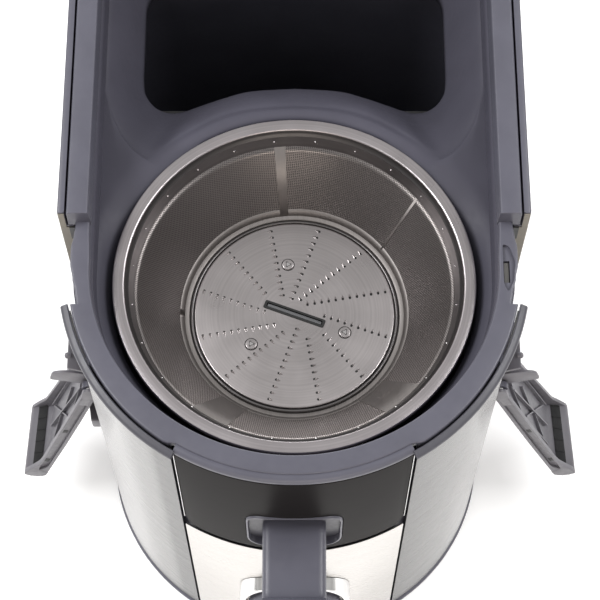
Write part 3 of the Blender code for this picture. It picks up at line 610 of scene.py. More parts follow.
def build_front_flange():
    ys = [20.7 - 41.3 * i / 24 for i in range(25)]
    right = [((flange_inner(y), y), (gap_edge(y), y)) for y in ys]
    half = 53.2
    lip_turn = math.degrees(math.asin(half / 104.6))
    front = front_pairs(144, lip_turn, 2.1)
    left = [((-a[0], a[1]), (-b[0], b[1])) for a, b in right[::-1]]
    section = [("i", -0.25, 16.4), ("i", -0.05, 18.9), ("i", 0.1, 19.5), ("i", 0.5, 19.9),
               ("i", 1.1, 20.0), ("o", 1.0, 20.0), ("o", 0.45, 19.9), ("o", 0.1, 19.5),
               ("o", 0, 18.9), ("o", 0, 16.4)]
    flange = add("bowl_front_flange", rail(right + front + left, section), GREY, "bowl",
                 smooth=50)
    pocket = slab(rounded([(95.5, 9.4), (98.6, 8.2), (101.0, 1.0), (100.2, -9.0), (97.4, -14.6),
                           (95.5, -11.0)], 1.6), 18.6, 21.0)
    carve(flange, pocket)
    slot = slab([(95.6, -9.5), (98.5, -9.5), (98.5, 1.3), (95.6, 1.3)], 10, 21)
    carve(flange, slot)

    lip = list(zip(arc(0, 0, 100.6, -90 - lip_turn, -90 + lip_turn, 61),
                   arc(0, 0, 105.1, -90 - lip_turn, -90 + lip_turn, 61)))
    section = [("i", 0, 15.2), ("i", 0, 18.9), ("o", 3.5, 19.5), ("o", 2.4, 19.6),
               ("o", 1.4, 19.3), ("o", 0.6, 18.7), ("o", 0.15, 17.8), ("o", 0, 16.6),
               ("o", 0.4, 15.4), ("o", 1.4, 14.6), ("i", 1, 14.6)]
    add("bowl_front_lip", rail(lip, section), GREY, "bowl", smooth=60)


def rear_outlines():
    """Inner and outer outline of the rear flange, from the right gap round the back."""
    inner = ([(94.3, GAP_Y), (94.3, 60), (94.3, 100), (94.3, 151)] + arc(57.3, 151, 37, 3, 90, 22)
             + [(0, 188)])
    outer = ([(104.4, GAP_Y), (104.4, 60), (104.4, 100), (104.4, 151)]
             + arc(64.5, 151.2, 44, 3, 90, 22) + [(0, 195.2)])
    return mirrored_pairs(inner, outer)


def mirrored_pairs(inner, outer):
    """Pairs of the right half, followed by their mirror image on the left."""
    right = list(zip(inner, outer))
    return right + [((-a[0], a[1]), (-b[0], b[1])) for a, b in right[-2::-1]]


def build_rear_flange():
    section = [("i", -0.75, 16.6), ("i", -0.1, 27.6), ("i", 0.1, 28.4), ("i", 0.5, 28.85),
               ("i", 1.2, 29.0), ("o", 1.2, 29.0), ("o", 0.5, 28.85), ("o", 0.1, 28.4),
               ("o", 0, 27.6), ("o", 0, 16.6)]
    add("bowl_rear_flange", rail(rear_outlines(), section), GREY, "bowl",
        smooth=50, bevel=0.35)
    inner = arc(64.5, 151.2, 41.0, 0, 90, 19)
    outer = arc(64.5, 151.2, 44.0, 0, 90, 19)
    section = [("i", 0, 27.0), ("o", 0.02, 27.0), ("o", 0.02, -24.4), ("o", 0.5, -25.2),
               ("i", 0.5, -25.2), ("i", 0, -24.4)]
    add("bowl_cowl", rail(mirrored_pairs(inner, outer), section), GREY, "bowl",
        smooth=50)


def well_curves():
    """The right-hand halves of the tray's curves: side crease, funnel edge, rear crease, hole."""
    side = [polar(flange_radius(t) - 1.4, math.radians(t)) for t in range(-90, 0, 2)]
    side += [(92.1, 0)] + [(92.2, 3 + 9 * i) for i in range(11)] + [(92.2, 103)]
    side = resample(side, 72)
    edge = spline([(92.2, 103), (89.6, 92), (84.4, 79.2), (78.4, 70.4), (72.0, 66.3),
                   (65.9, 69.0), (58.8, 75.2), (48.8, 82.2), (36.8, 89.0), (21.0, 93.4), (0, 95.0)])
    edge = resample(edge, 72)
    rear = [(92.2, 103), (92.2, 120), (92.2, 151)] + arc(57.3, 151, 34.9, 2, 90, 20) + [(0, 185.9)]
    rear = resample(rear, 60)
    hole = spline([(77.4, 124), (76.3, 115.2), (72.6, 108.2), (67.0, 103.6), (61.0, 102.1),
                   (55.0, 103.2), (46.6, 106.5), (34.7, 111.0), (21.7, 114.7), (0, 116.2)])
    return side, edge, rear, resample(hole, 72)


def build_well():
    """The bowl's inside: walls, the slope round the basket, the ridge and the pulp funnel."""
    side, edge, rear, hole_front = well_curves()
    hole_rear = resample([(77.4, 124), (77.4, 164)] + arc(56.4, 164, 21, 4, 90, 10) + [(0, 185)],
                         60)

    def crease(points):
        return [(x, y, WALL_FOOT) for x, y in points]

    edge_z = [(x, y, -3.0 * ease(i / (len(edge) - 1), 0, 0.35)) for i, (x, y) in enumerate(edge)]
    # walls
    low = mirrored(crease(side) + crease(rear)[1:])
    high = []
    for x, y, _ in low:
        if y < 0:
            out = (flange_radius(math.degrees(math.atan2(y, x))) - 0.15) / math.hypot(x, y)
            high.append((x * out, y * out, 17.2))
        elif y < 151:
            high.append((math.copysign(93.35 + 0.15 * ease(y, 0, 20), x), y, 17.2))
        else:
            sx = math.copysign(1, x)
            dx, dy = abs(x) - 57.3, y - 151
            out = 36.2 / 34.9 if abs(x) > 57.3 else 1.0
            high.append((sx * (57.3 + dx * out) if abs(x) > 57.3 else x,
                         151 + dy * (out if abs(x) > 57.3 else 36.2 / 34.9), 17.2))
    low_mid = [mix(a, b, 0.5) for a, b in zip(low, high)]
    walls = loft([low, low_mid, high])

    # slope and ridge round the basket
    goal = crease(side) + edge_z[1:]
    bearings = []
    for i, (x, y, _) in enumerate(goal):
        turn = math.degrees(math.atan2(y, x))
        if i < len(side):
            bearings.append(turn if turn < 10 else 10 + (turn - 10) * 12 / 38.2)
        else:
            share = (i - len(side) + 1) / (len(edge) - 1)
            fanned = 22 + 22 * math.sin(math.radians(min(90, 90 * share / 0.42)))
            bearings.append(fanned if share < 0.42 else max(fanned, turn))
    for i in range(1, len(bearings)):
        bearings[i] = max(bearings[i], bearings[i - 1] + 0.01)
    bearings[-1] = 90.0
    ranks = [ease(b, 43, 64) for b in bearings]

    def ridge_z(t):
        rise = 1.6 * (1 - (1 - min(1, t / 0.34)) ** 2)
        return -2.0 + rise - 2.6 * ease(t, 0.45, 1.0) ** 1.2

    def deck_z(x, y):
        """Height of the slope beside the basket, which levels out at its outer crease."""
        turn = math.degrees(math.atan2(y, x))
        start_z = -8.0 + 5.0 * ease(turn, 5, 37)
        outer = flange_radius(turn) - 1.4 if turn < 0 else min(92.2 / math.cos(math.radians(turn)),
                                                               98.1)
        share = min(1.0, max(0.0, (math.hypot(x, y) - FOOT_R) / (outer - FOOT_R)))
        return start_z * (1 - share) ** 1.3

    slope = [[] for _ in range(13)]
    for turn, rank, target in zip(bearings, ranks, goal):
        foot = polar(FOOT_R, math.radians(turn), 0)
        offset = target[2] - deck_z(*target[:2])
        reach = math.dist(foot[:2], target[:2])
        lip = min(26.0, reach) / reach
        for k, ring in enumerate(slope):
            even = k / 12
            t = lip * k / 8 if k <= 8 else lip + (1 - lip) * (k - 8) / 4
            t = t + (even - t) * rank if lip > 0.97 else t
            x, y, _ = mix(foot, target, t)
            side_z = deck_z(x, y) + offset * t ** 2
            rear_z = ridge_z(t) if t < 1 else target[2]
            ring.append((x, y, side_z + (rear_z - side_z) * rank))
    slope = [mirrored(ring) for ring in slope]
    deep = []
    for radius, z in ((20.5, -73), (20.5, -55.6), (22.8, -55.5), (23.6, -70), (26, -71.9),
                      (76, -71.9), (80, -70.5), (81.6, -67), (83.6, -40), (84.9, -20)):
        deep.append(mirrored([polar(radius, math.radians(b), z) for b in bearings]))
    basin = loft(deep + slope)

    # pulp funnel
    outer = mirrored(edge_z[::-1] + crease(rear)[1:])
    inner = mirrored([(x, y, HOLE_Z) for x, y in hole_front[::-1]]
                     + [(x, y, HOLE_Z) for x, y in hole_rear[1:]])
    rings = []
    for t in (0, 0.04, 0.09, 0.16, 0.25, 0.36, 0.48, 0.6, 0.72, 0.84, 0.93, 1.0):
        rings.append([(*mix(a, b, t)[:2], a[2] + (HOLE_Z - a[2]) * t ** 1.4)
                      for a, b in zip(outer, inner)])
    for share, z in ((0.004, -25.7), (0.010, -27.0), (0.014, -34.0)):
        rings.append([(x + (0 - x) * share, y + (142 - y) * share, z) for x, y, _ in inner])
    funnel = loft(rings)
    # The well takes the darker copy of the grey plastic, painted shade.
    add("bowl_well", together(walls, basin, funnel), WELL_GREY_PAINTED_SHADE, "bowl",
        ["juice_bowl"], smooth=50, thick=1.8, flip=(0, 60, 400))


def build_front_panel():
    """Dark panel with its bright edge lines, and the window cut for the spout's recess."""
    turn = math.degrees(math.asin(52.6 / 104.4))
    low, high, corner = -89.5, 14.0, 9.0
    count = 49
    pairs = []
    rings = []
    for i in range(count):
        share = -1 + 2 * i / (count - 1)
        t = math.radians(-90 + turn * share)
        across = 104.5 * math.radians(turn) * (1 - abs(share))
        drop = low + (corner - math.sqrt(max(0, corner ** 2 - (corner - min(across, corner)) ** 2)))
        rings.append([polar(r, t, z) for r, z in
                      ((102.3, drop), (102.3, high), (104.0, high), (104.45, high - 0.5),
                       (104.5, high - 1.2), (104.5, drop + 1.2), (104.45, drop + 0.4),
                       (104.0, drop))])
    panel = add("front_panel_sheet", capped(rings), PANEL, "bowl", ["front_panel"],
                smooth=50)
    window = rounded(oblong(23.1, -82.4, -35.9), 11, 8)
    carve(panel, swapped(slab(window, -115, -90), "xzy"))
    for side in (-1, 1):
        t = math.radians(-90 + side * (turn + 0.32))
        line = [[polar(r, t + side * a, z)
                 for r, a in ((103.2, 0), (104.55, 0), (104.55, 0.004), (103.2, 0.004))]
                for z in (-80, 14)]
        add(f"panel_edge_{'left' if side < 0 else 'right'}", capped(line), BRIGHT, "bowl")


def build_spout():
    def frame_outline(grow):
        return rounded(oblong(22.7 - grow, -82.0 + grow, -36.2 - grow), 10.6 - grow, 8)

    rings = []
    for grow, out in ((0, -1.5), (0, 0.7), (0.2, 1.0), (0.9, 1.0), (1.1, 0.7), (1.2, -4.5)):
        rings.append([(x, -math.sqrt((104.5 + out) ** 2 - x * x), z)
                      for x, z in frame_outline(grow)])
    bezel = loft(rings + [rings[0]])
    back = swapped(slab(frame_outline(1.0), -100.2, -98.0), "xzy")
    add("spout_bezel", bezel, GREY, "bowl", smooth=50)
    add("spout_recess", back, DARKER_GREY_PAINTED_SHADE, "bowl", smooth=40)

    def section(half, low, high, corner):
        return rounded(oblong(half, low, high), corner, 5)

    outer_low, outer_high, half = -74.0, -53.0, 15.0
    stations = [(-92.0, 0), (-100, 0), (-118, 0), (-123, 3.5), (-128, 7.0), (-133, 8.6),
                (-136.6, 9.0), (-138.0, 8.0)]
    rings = [[(x, y, z) for x, z in section(half - (0.6 if y < -137 else 0), outer_low - drop,
                                            outer_high - (0.8 if y < -137 else 0), 4.0)]
             for y, drop in stations]
    inner = [[(x, y, z) for x, z in section(half - 2.0, outer_low - drop + 2.0, outer_high - 2.2,
                                            3.0)]
             for y, drop in stations[::-1]]
    pipe = loft(rings + inner + [rings[0]])
    spout = add("spout_pipe", pipe, GREY, "bowl", ["juice_spout"], smooth=50)
    carve(spout, block((-11.5, 11.5), (-134.5, -121.5), (-90, -66)))

    pivot_y, pivot_z = -139.6, -50.0
    flap = rounded(oblong(15, -26.0, 1.6), [4, 4, 1, 1], 5)
    sheet = moved(swapped(pillow(flap, -3.4, -1.1, 0.5), "xzy"),
                  Matrix.Translation((0, pivot_y, pivot_z)))
    barrel = swapped(lathe([(0, -15), (1.8, -15), (2.2, -14.6), (2.2, 14.6), (1.8, 15), (0, 15)],
                           24, closed=False), "zxy")
    barrel = moved(barrel, Matrix.Translation((0, pivot_y - 1.0, pivot_z)))
    tab = moved(swapped(pillow(rounded(oblong(4, -23, -19), 1.8), -4.3, -3.3, 0.3), "xzy"),
                Matrix.Translation((0, pivot_y, pivot_z)))
    add("flap_sheet", together(sheet, barrel, tab), GREY, "flap", ["drip_flap"],
        smooth=50)


# ---------------------------------------------------------------- filter basket
def build_basket():
    rim = lathe([(85.0, -0.9), (84.95, -0.4), (84.8, -0.12), (84.5, 0.0), (80.2, 0.0),
                 (79.7, -0.12), (79.35, -0.4), (79.3, -1.0), (80.4, -1.5),
                 (83.6, -1.3), (83.9, -1.6), (83.9, -2.9), (84.8, -3.0), (85.0, -2.7)], 216)
    add("rim_ring", rim, RIM, "basket", ["basket_rim"], smooth=60)
    step = lathe([(79.45, -0.6), (79.1, -1.0), (78.9, -1.6), (78.5, -2.3), (77.9, -2.9),
                  (77.5, -3.3), (78.4, -3.7), (79.6, -2.6), (80.0, -1.2)], 216)
    add("rim_step", step, PAINTED_DEEP_SHADE_STEEL, "basket", smooth=60)
    band = lathe([(77.7, -3.1), (75.2, -9.0), (75.9, -9.0), (78.3, -3.4)], 180)
    add("rim_band", band, PAINTED_SHADE_STEEL, "basket", smooth=60)

    foot_r, foot_z, top_r, top_z = 53.2, -41.2, 75.2, -9.0
    sheet, uvs = [], []
    rows, count = 12, 216
    slant = math.hypot(top_r - foot_r, top_z - foot_z)
    sine = (top_r - foot_r) / slant
    for r in range(rows + 1):
        t = r / rows
        radius = foot_r + (top_r - foot_r) * t
        sheet.append([polar(radius, math.tau * i / count, foot_z + (top_z - foot_z) * t)
                      for i in range(count + 1)])
    item = add("mesh_sheet", loft(sheet, wrap=False), MESH, "basket",
               ["basket_mesh"], smooth=60, thick=0.5, flip=(0, 0, 100))
    layer = item.data.uv_layers.new(name="sheet")
    for face in item.data.polygons:
        turns = []
        for loop in face.loop_indices:
            x, y, z = item.data.vertices[item.data.loops[loop].vertex_index].co
            turns.append(math.atan2(y - AXIS_Y, x))
        top = max(turns)
        for loop, turn in zip(face.loop_indices, turns):
            x, y, z = item.data.vertices[item.data.loops[loop].vertex_index].co
            if top - turn > math.pi:
                turn += math.tau
            reach = math.hypot(x, y - AXIS_Y) / MM / sine
            layer.data[loop].uv = (reach * math.cos(turn * sine), reach * math.sin(turn * sine))

    def on_cone(turn, t, lift):
        """A point on the mesh: bearing in degrees, share of the way up, and distance inward."""
        radius = foot_r + (top_r - foot_r) * t - lift * (top_z - foot_z) / slant
        z = foot_z + (top_z - foot_z) * t + lift * sine
        return polar(radius, math.radians(turn), z)

    def patch(name, start, end, low, high, look, lift=0.25):
        steps = max(2, int(abs(end - start) / 2.5) + 1)
        rings = [[on_cone(start + (end - start) * i / steps, t, h) for t, h in
                  ((low, 0.0), (low + 0.004, lift), (high - 0.004, lift), (high, 0.0))]
                 for i in range(steps + 1)]
        add(name, capped(rings), look, "basket", smooth=60)

    patch("mesh_seam_rear", 93.4, 97.6, 0.0, 1.0, SEAM)
    patch("mesh_seam_right", 38.0, 39.0, 0.05, 1.0, SEAM)
    patch("mesh_foot_band", -180, 180, 0.0, 0.10, SEAM, 0.2)
    patch("mesh_patch_right", -56, -40, 0.10, 1.0, SEAM)
    patch("mesh_patch_left", -128, -114, 0.10, 1.0, SEAM)

    dots = []
    for i in range(24):
        for shift in (-0.45, 0.45):
            a = math.radians(15 * i + 7 + shift)
            r, z = 76.35, -6.4 + shift * 1.2
            spot = Matrix.Translation(polar(r, a, z))
            dot = lathe([(0, 0.30), (0.28, 0.22), (0.42, 0.0), (0.42, -0.3), (0, -0.3)], 10, False)
            dots.append(moved(moved(dot, Matrix.Rotation(math.radians(-65), 4, "Y")),
                              spot @ Matrix.Rotation(a, 4, "Z")))
    add("weld_dots", together(*dots), PAINTED_GLINT_STEEL, "basket", smooth=60)

    disc_z = -40.5
    well = lathe([(0, -42.0), (54.2, -42.4), (54.2, -46.8), (30, -53.3), (18.4, -53.3),
                  (18.4, -68.4), (14.7, -68.4), (14.7, -54.6), (0, -54.6)], 96, closed=False)
    add("basket_foot", well, BLACK, "basket", ["basket_base"], smooth=40)
    ring = lathe([(49.0, -41.9), (49.1, -41.1), (49.5, -40.8), (50.0, -40.8), (50.5, -41.2),
                  (50.7, -41.9)], 144)
    add("disc_collar", ring, PAINTED_SHADE_STEEL, "basket", smooth=60)
    edge = lathe([(50.9, -42.2), (51.0, -41.5), (51.5, -41.2), (53.3, -41.0), (53.3, -42.2)], 144)
    add("mesh_hem", edge, SEAM, "basket", smooth=60)
    build_disc(disc_z)


ROW_TEETH = (12, 12, 12, 12, 9, 10, 11, 11, 12, 10, 9, 10)   # from the row at 10 degrees


SLOT_TURN = math.radians(-20.6)


def slot_point(x, y, turn=SLOT_TURN):
    """A point given along and across the disc's slot, in the script's own X and Y."""
    return (x * math.cos(turn) - y * math.sin(turn), x * math.sin(turn) + y * math.cos(turn))


def slot_outline(half, wide, corner, steps=4):
    return rounded([slot_point(x, y) for x, y in oblong(half, -wide, wide)], corner, steps)


def lobed(centre, size, wave, turn, share=1.0):
    """A round outline with three lobes, turned by an angle in radians."""
    out = []
    for k in range(36):
        a = math.tau * k / 36
        x, y = polar(share * (size + wave * math.cos(3 * a)), a + turn)
        out.append((centre[0] + x, centre[1] + y))
    return out


def build_disc(top):
    disc = lathe([(0, top), (47.9, top), (48.3, top - 0.08), (48.6, top - 0.35),
                  (48.6, top - 1.0), (0, top - 1.0)], 180, closed=False)
    item = add("disc_sheet", disc, DISC, "basket", ["grating_disc"], smooth=60)
    carve(item, slab(slot_outline(15.6, 2.2, 0.9), top - 3, top + 3))
    lining, inner = slot_outline(15.5, 2.1, 0.9), slot_outline(14.3, 1.1, 0.5)
    rings = [[(x, y, z) for x, y in line] for line, z in
             ((lining, top - 1.0), (lining, top + 0.35), (inner, top + 0.35), (inner, top - 1.0))]
    add("slot_lining", loft(rings + [rings[0]]), PAINTED_HOLE_SHADE, "basket",
        ["drive_insert"], smooth=40)
    bar = slot_outline(13.9, 0.75, 0.4, 3)
    add("slot_bar", pillow(bar, top - 0.9, top - 0.25, 0.15), IRON, "basket",
        smooth=50)

    teeth, holes = [], []
    for row in range(12):
        turn = math.radians(10 + 30 * row)
        along = Vector((math.cos(turn), math.sin(turn), 0))
        side = Vector((-along.y, along.x, 0))
        offset = 4.2
        end = math.sqrt(45.8 ** 2 - offset ** 2)
        for k in range(ROW_TEETH[row]):
            reach = end - 3.5 * k
            centre = along * reach + side * offset
            x, y = slot_point(centre.x, centre.y, -SLOT_TURN)
            if abs(x) < 17.2 and abs(y) < 4.2:
                continue
            if any(math.hypot(centre.x - sx, centre.y - sy) < 4.2 for sx, sy in SCREWS):
                continue
            teeth.append(tooth(centre, along, side, top))
            holes.append(tooth_hole(centre, along, side, top))
    add("grating_teeth", together(*teeth), PAINTED_GLINT_STEEL, "basket", smooth=25)
    add("grating_holes", together(*holes), PAINTED_HOLE_SHADE, "basket", smooth=40)

    # Round each screw: a dark ring of painted shade in the groove, a dark star of painted shade for
    # the recess, and a bright inner star, a painted glint.
    for i, (sx, sy) in enumerate(SCREWS):
        head = lobed((sx, sy), 2.75, 0.05, i)
        add(f"screw_head_{i + 1}", pillow(head, top + 0.1, top + 0.75, 0.3, 4), DISC,
            "basket", [f"disc_screw_{i + 1}"], smooth=50)
        add(f"screw_ring_{i + 1}", lathe([(2.85, top + 0.02), (2.9, top + 0.1), (3.2, top + 0.1),
                                          (3.25, top + 0.02)], 36, True, (sx, sy)), PAINTED_HOLE_SHADE,
            "basket")
        star, inner_star = [lobed((sx, sy), 1.25, 0.5, i, share) for share in (1.0, 0.62)]
        add(f"screw_recess_painted_shade_{i + 1}", slab(star, top + 0.70, top + 0.79), PAINTED_SHADE_STEEL, "basket")
        add(f"screw_painted_glint_{i + 1}", slab(inner_star, top + 0.72, top + 0.83), PAINTED_GLINT_STEEL, "basket")


SCREWS = [polar(0.545 * 48.2, math.radians(b)) for b in (97.0, -22.0, -142.6)]


def tooth(centre, along, side, top):
    """A punched tooth: a raised tongue that opens towards the side it turns to."""
    peak = centre - side * 0.35 + Vector((0, 0, top + 1.2))
    left = centre + along * 0.72 - side * 0.3 + Vector((0, 0, top + 0.02))
    right = centre - along * 0.72 - side * 0.3 + Vector((0, 0, top + 0.02))
    back = centre + side * 1.7 + Vector((0, 0, top + 0.02))
    left_mid = tuple(Vector(mix(left, peak, 0.55)) + along * 0.22)
    right_mid = tuple(Vector(mix(right, peak, 0.55)) - along * 0.22)
    verts = [tuple(peak), tuple(left), tuple(right), tuple(back), left_mid, right_mid]
    faces = [(0, 4, 3), (4, 1, 3), (0, 3, 5), (5, 3, 2), (0, 5, 2, 1, 4), (1, 2, 3)]
    return verts, faces


def tooth_hole(centre, along, side, top):
    """The mouth in front of a tooth: a dark disc of painted shade."""
    verts, count = [], 12
    for z in (top - 0.2, top + 0.03):
        for k in range(count):
            a = math.tau * k / count
            point = (centre - side * 0.7 + along * 0.62 * math.cos(a)
                     + side * 0.62 * math.sin(a))
            verts.append((point.x, point.y, z))
    faces = [(i, (i + 1) % count, count + (i + 1) % count, count + i) for i in range(count)]
    faces += [tuple(range(count)), tuple(range(count, 2 * count))]
    return verts, faces


# ---------------------------------------------------------------- motor base
def band_pairs(inner, outer, start, end, count=41):
    return list(zip(arc(0, 0, inner, start, end, count), arc(0, 0, outer, start, end, count)))


def cover_span(side, front_x, front_r, rear_y, rear_r):
    """Bearings of a side cover's ends, from the X and Y of its edges at those radii."""
    front = -90 + math.degrees(math.asin(front_x / front_r))
    rear = -math.degrees(math.asin(rear_y / rear_r))
    return (-180 - front, -180 - rear) if side < 0 else (front, rear)


def build_side_covers():
    steel_top, steel_foot = 14.6, TABLE + 9.2
    for side, name in ((-1, "left"), (1, "right")):
        front, rear = cover_span(side, 54.9, STEEL_OUT, 21.6, STEEL_OUT)
        section = [("i", 0, steel_foot), ("i", 0, steel_top), ("o", 0, steel_top),
                   ("o", 0, steel_foot)]
        add(f"steel_sheet_{name}", rail(band_pairs(STEEL_IN, STEEL_OUT, front, rear), section),
            BODY_STEEL, "base", [f"steel_panel_{name}"], smooth=60, bevel=0.25)
        front, rear = cover_span(side, 54.3, 108.0, 21.0, 108.2)
        section = [("i", 0, 15.0), ("i", 0, 19.0), ("i", 0.2, 19.4), ("i", 0.6, 19.5),
                   ("o", 1.4, 18.7), ("o", 0.6, 18.3), ("o", 0.15, 17.7), ("o", 0, 16.9),
                   ("o", 0.2, 15.8), ("o", 1.0, 15.0)]
        add(f"cap_band_{name}", rail(band_pairs(104.5, 108.15, front, rear), section), DARKER_GREY_PAINTED_SHADE,
            "base", [f"side_band_{name}"], smooth=50, bevel=0.3)

    turn = math.degrees(math.asin(53.6 / STEEL_OUT))
    section = [("i", 0, TABLE + 9.2), ("i", 0, -93.4), ("o", 0.3, -93.2), ("o", 0, -93.6),
               ("o", 0, TABLE + 9.2)]
    fascia = add("fascia_sheet", rail(band_pairs(STEEL_IN, STEEL_OUT, -90 - turn, -90 + turn),
                                      section), STEEL, "base", ["front_fascia"], smooth=60)
    hole = arc(0, KNOB_Z, 6.0, 0, 350, 36)
    carve(fascia, swapped(slab(hole, -120, -90), "xzy"))


def build_knob():
    z = KNOB_Z
    rings = []
    around = [math.tau * i / 72 for i in range(72)]
    for r, y in ((29.0, -108.6), (28.8, -109.9), (28.2, -110.7), (27.2, -111.0), (26.2, -110.7),
                 (25.5, -109.9), (25.2, -108.6)):
        rings.append([(r * math.cos(t), y, z + r * math.sin(t)) for t in around])
    for r in (25.2, 29.0):
        rings.append([(r * math.cos(t), -math.sqrt(105.2 ** 2 - (r * math.cos(t)) ** 2),
                       z + r * math.sin(t)) for t in around])
    add("bezel_ring", loft(rings + [rings[0]]), BRIGHT, "base", ["knob_bezel"], smooth=50)

    profile = [(0, -129.9), (6, -129.9), (19.5, -129.4), (21.6, -128.7), (22.6, -127.4),
               (23.6, -118.0), (24.0, -109.6), (23.4, -107.6), (3.0, -107.4), (3.0, -94.2),
               (0, -94.2)]
    rings = []
    for i in range(97):
        t = math.tau * i / 96
        ring = []
        for r, y in profile:
            flute = 0.35 * abs(math.sin(12 * t)) if 22 < r and y > -127 and y < -109 else 0.0
            ring.append(((r - flute) * math.cos(t), y, z + (r - flute) * math.sin(t)))
        rings.append(ring)
    knob = loft(rings, wrap=False)
    add("knob_body", knob, GREY, "knob", ["speed_knob"], smooth=35)
    grip = rounded(oblong(3.2, z - 21.0, z + 21.0), 2.6, 5)
    add("knob_grip", swapped(pillow(grip, -131.5, -128.6, 0.9, 4), "xzy"), GREY, "knob",
        smooth=50)
    mark = rounded(oblong(0.6, z + 12.5, z + 20.0), 0.4, 3)
    add("knob_mark", swapped(slab(mark, -131.62, -131.3), "xzy"), BRIGHT, "knob")


def build_rear_panels():
    for side, name in ((-1, "left"), (1, "right")):
        low, high = TABLE + 8.4, REAR_FLANGE
        shared = [(105.25, 22.9), (105.25, 149.9), (106.2, 150.0), (108.4, 150.0), (108.5, 149.5),
                  (108.5, 21.6), (108.2, 21.0), (107.6, 20.8)]
        outline = shared + [(101.8, 20.8), (101.8, 22.9)]
        upper = shared + [(106.0, 20.8), (105.25, 21.4)]
        lower_part = slab([(side * x, y) for x, y in outline], low, 16.0)
        rings = []
        for inset, z in ((0, 15.9), (0, high - 0.9), (0.25, high - 0.3), (0.8, high)):
            rings.append([(side * (x - inset if x > 107 else x), y, z) for x, y in upper])
        add(f"side_wall_{name}", together(lower_part, capped(rings)), GREY, "base",
            [f"rear_panel_{name}"], smooth=40)
        # Painted warm light: thin beige sheets on each side wall's front face stand in for warm
        # light falling from the front.
        painted_light_face = [(105.3, 20.35), (108.1, 20.35), (108.4, 20.75), (101.9, 20.75), (102.2, 20.35)]
        painted_light_face_high = [(105.4, 20.35), (108.1, 20.35), (108.35, 20.75), (105.4, 20.75)]
        add(f"side_painted_light_{name}",
            together(slab([(side * x, y) for x, y in painted_light_face], low + 1.0, 14.5),
                     slab([(side * x, y) for x, y in painted_light_face_high], 14.6, 28.0)), PAINTED_WARM_LIGHT, "base")
        add(f"corner_seal_{name}", pillow([(side * x, y) for x, y in
                                           ((101.0, 19.9), (104.2, 19.9), (104.2, 20.3),
                                            (101.0, 20.3))], 3.0, 15.0, 0.1), BLACK, "base")
    stop = pillow(rounded([(-101.0, -20.0), (-108.0, -20.0), (-110.0, -7.0), (-101.4, -7.0)],
                          1.0, 3), TABLE + 113.0, TABLE + 122.5, 0.7)
    add("latch_stop", stop, LATCH, "base", smooth=50)


def build_foot_and_plate():
    def outline(inset):
        return (arc(0, 0, 106.0 - inset, 180, 360, 61)
                + arc(62.0, 150.0, 44.0 - inset, 0, 90, 17)
                + arc(-62.0, 150.0, 44.0 - inset, 90, 180, 17))
    rings = [[(x, y, TABLE + z) for x, y in outline(inset)] for inset, z in
             ((1.6, 4.0), (0.6, 4.4), (0.05, 5.2), (0.0, 6.4), (0.3, 7.6), (1.0, 8.0))]
    plate = add("bottom_plate", capped(rings), GREY, "base", ["base_plate"],
                smooth=50)
    for y in (-12.0, 0.0, 12.0):
        carve(plate, slab(rounded(oblong(30, y, y + 4), 1.9, 4), TABLE - 1, TABLE + 20))
    for name, (x, y) in {"front_left": (-68, -55), "front_right": (68, -55),
                         "rear_left": (-75, 150), "rear_right": (75, 150)}.items():
        foot = lathe([(0, 0.0), (6.6, 0.0), (7.4, 0.4), (8.0, 1.4), (8.0, 3.7), (0, 3.7)], 40,
                     False, (x, y))
        add(f"rubber_foot_{name}", moved(foot, Matrix.Translation((0, 0, TABLE))), RUBBER, "base",
            [f"foot_{name}"], smooth=40)


def build_container():
    low, high = TABLE + 8.8, TABLE + 236.0
    outer = arc(64.5, 151.0, 44.0, 0, 90, 25)
    inner = arc(64.5, 151.0, 40.8, 0, 90, 25)
    section = [("i", 0, low), ("i", 0, high), ("o", 0.5, high), ("o", 0.1, high - 0.5),
               ("o", 0, high - 1.2), ("o", 0, low + 2.5), ("o", 0.4, low + 0.8), ("o", 1.4, low)]
    cover = add("cover_shell", rail(mirrored_pairs(inner, outer), section), GREY, "container",
                ["container_cover"], smooth=50)
    recess = rounded(oblong(45, TABLE + 203, TABLE + 229), [13, 13, 8, 8], 8)
    carve(cover, swapped(slab(recess, 193.4, 200), "xzy"))
    bar = rounded(oblong(40, TABLE + 222, TABLE + 227.5), 2.5, 5)
    add("cover_grip_bar", swapped(pillow(bar, 192.6, 194.9, 0.9, 4), "xzy"), LATCH, "container",
        smooth=50)
    dress(BLACK, "pulp_container")


# ---------------------------------------------------------------- interlock and latches
def build_interlock_spring():
    """Coil spring under the interlock rod, which shortens as the rod is pushed down; this coil is
    built at one length and does not shorten.
    """
    low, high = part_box("interlock_spring")
    centre = Vector(((low[0] + high[0]) / 2, (low[1] + high[1]) / 2, 0)) / MM
    turns, wire, radius = 6, 0.32, 2.9
    foot, top = low[2] / MM + wire, high[2] / MM - wire
    rings = []
    for i in range(turns * 16 + 1):
        a = math.tau * i / 16
        out = Vector((math.cos(a), math.sin(a), 0))
        middle = centre + out * radius + Vector((0, 0, foot + (top - foot) * i / (turns * 16)))
        rings.append([tuple(middle + out * wire * math.cos(b) + Vector((0, 0, wire * math.sin(b))))
                      for b in [math.tau * j / 8 for j in range(8)]])
    coil = add("interlock_coil", capped(rings), STEEL, "base", ["interlock_spring"],
               smooth=60, where=lambda point: Vector(point) * MM)
    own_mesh(coil)


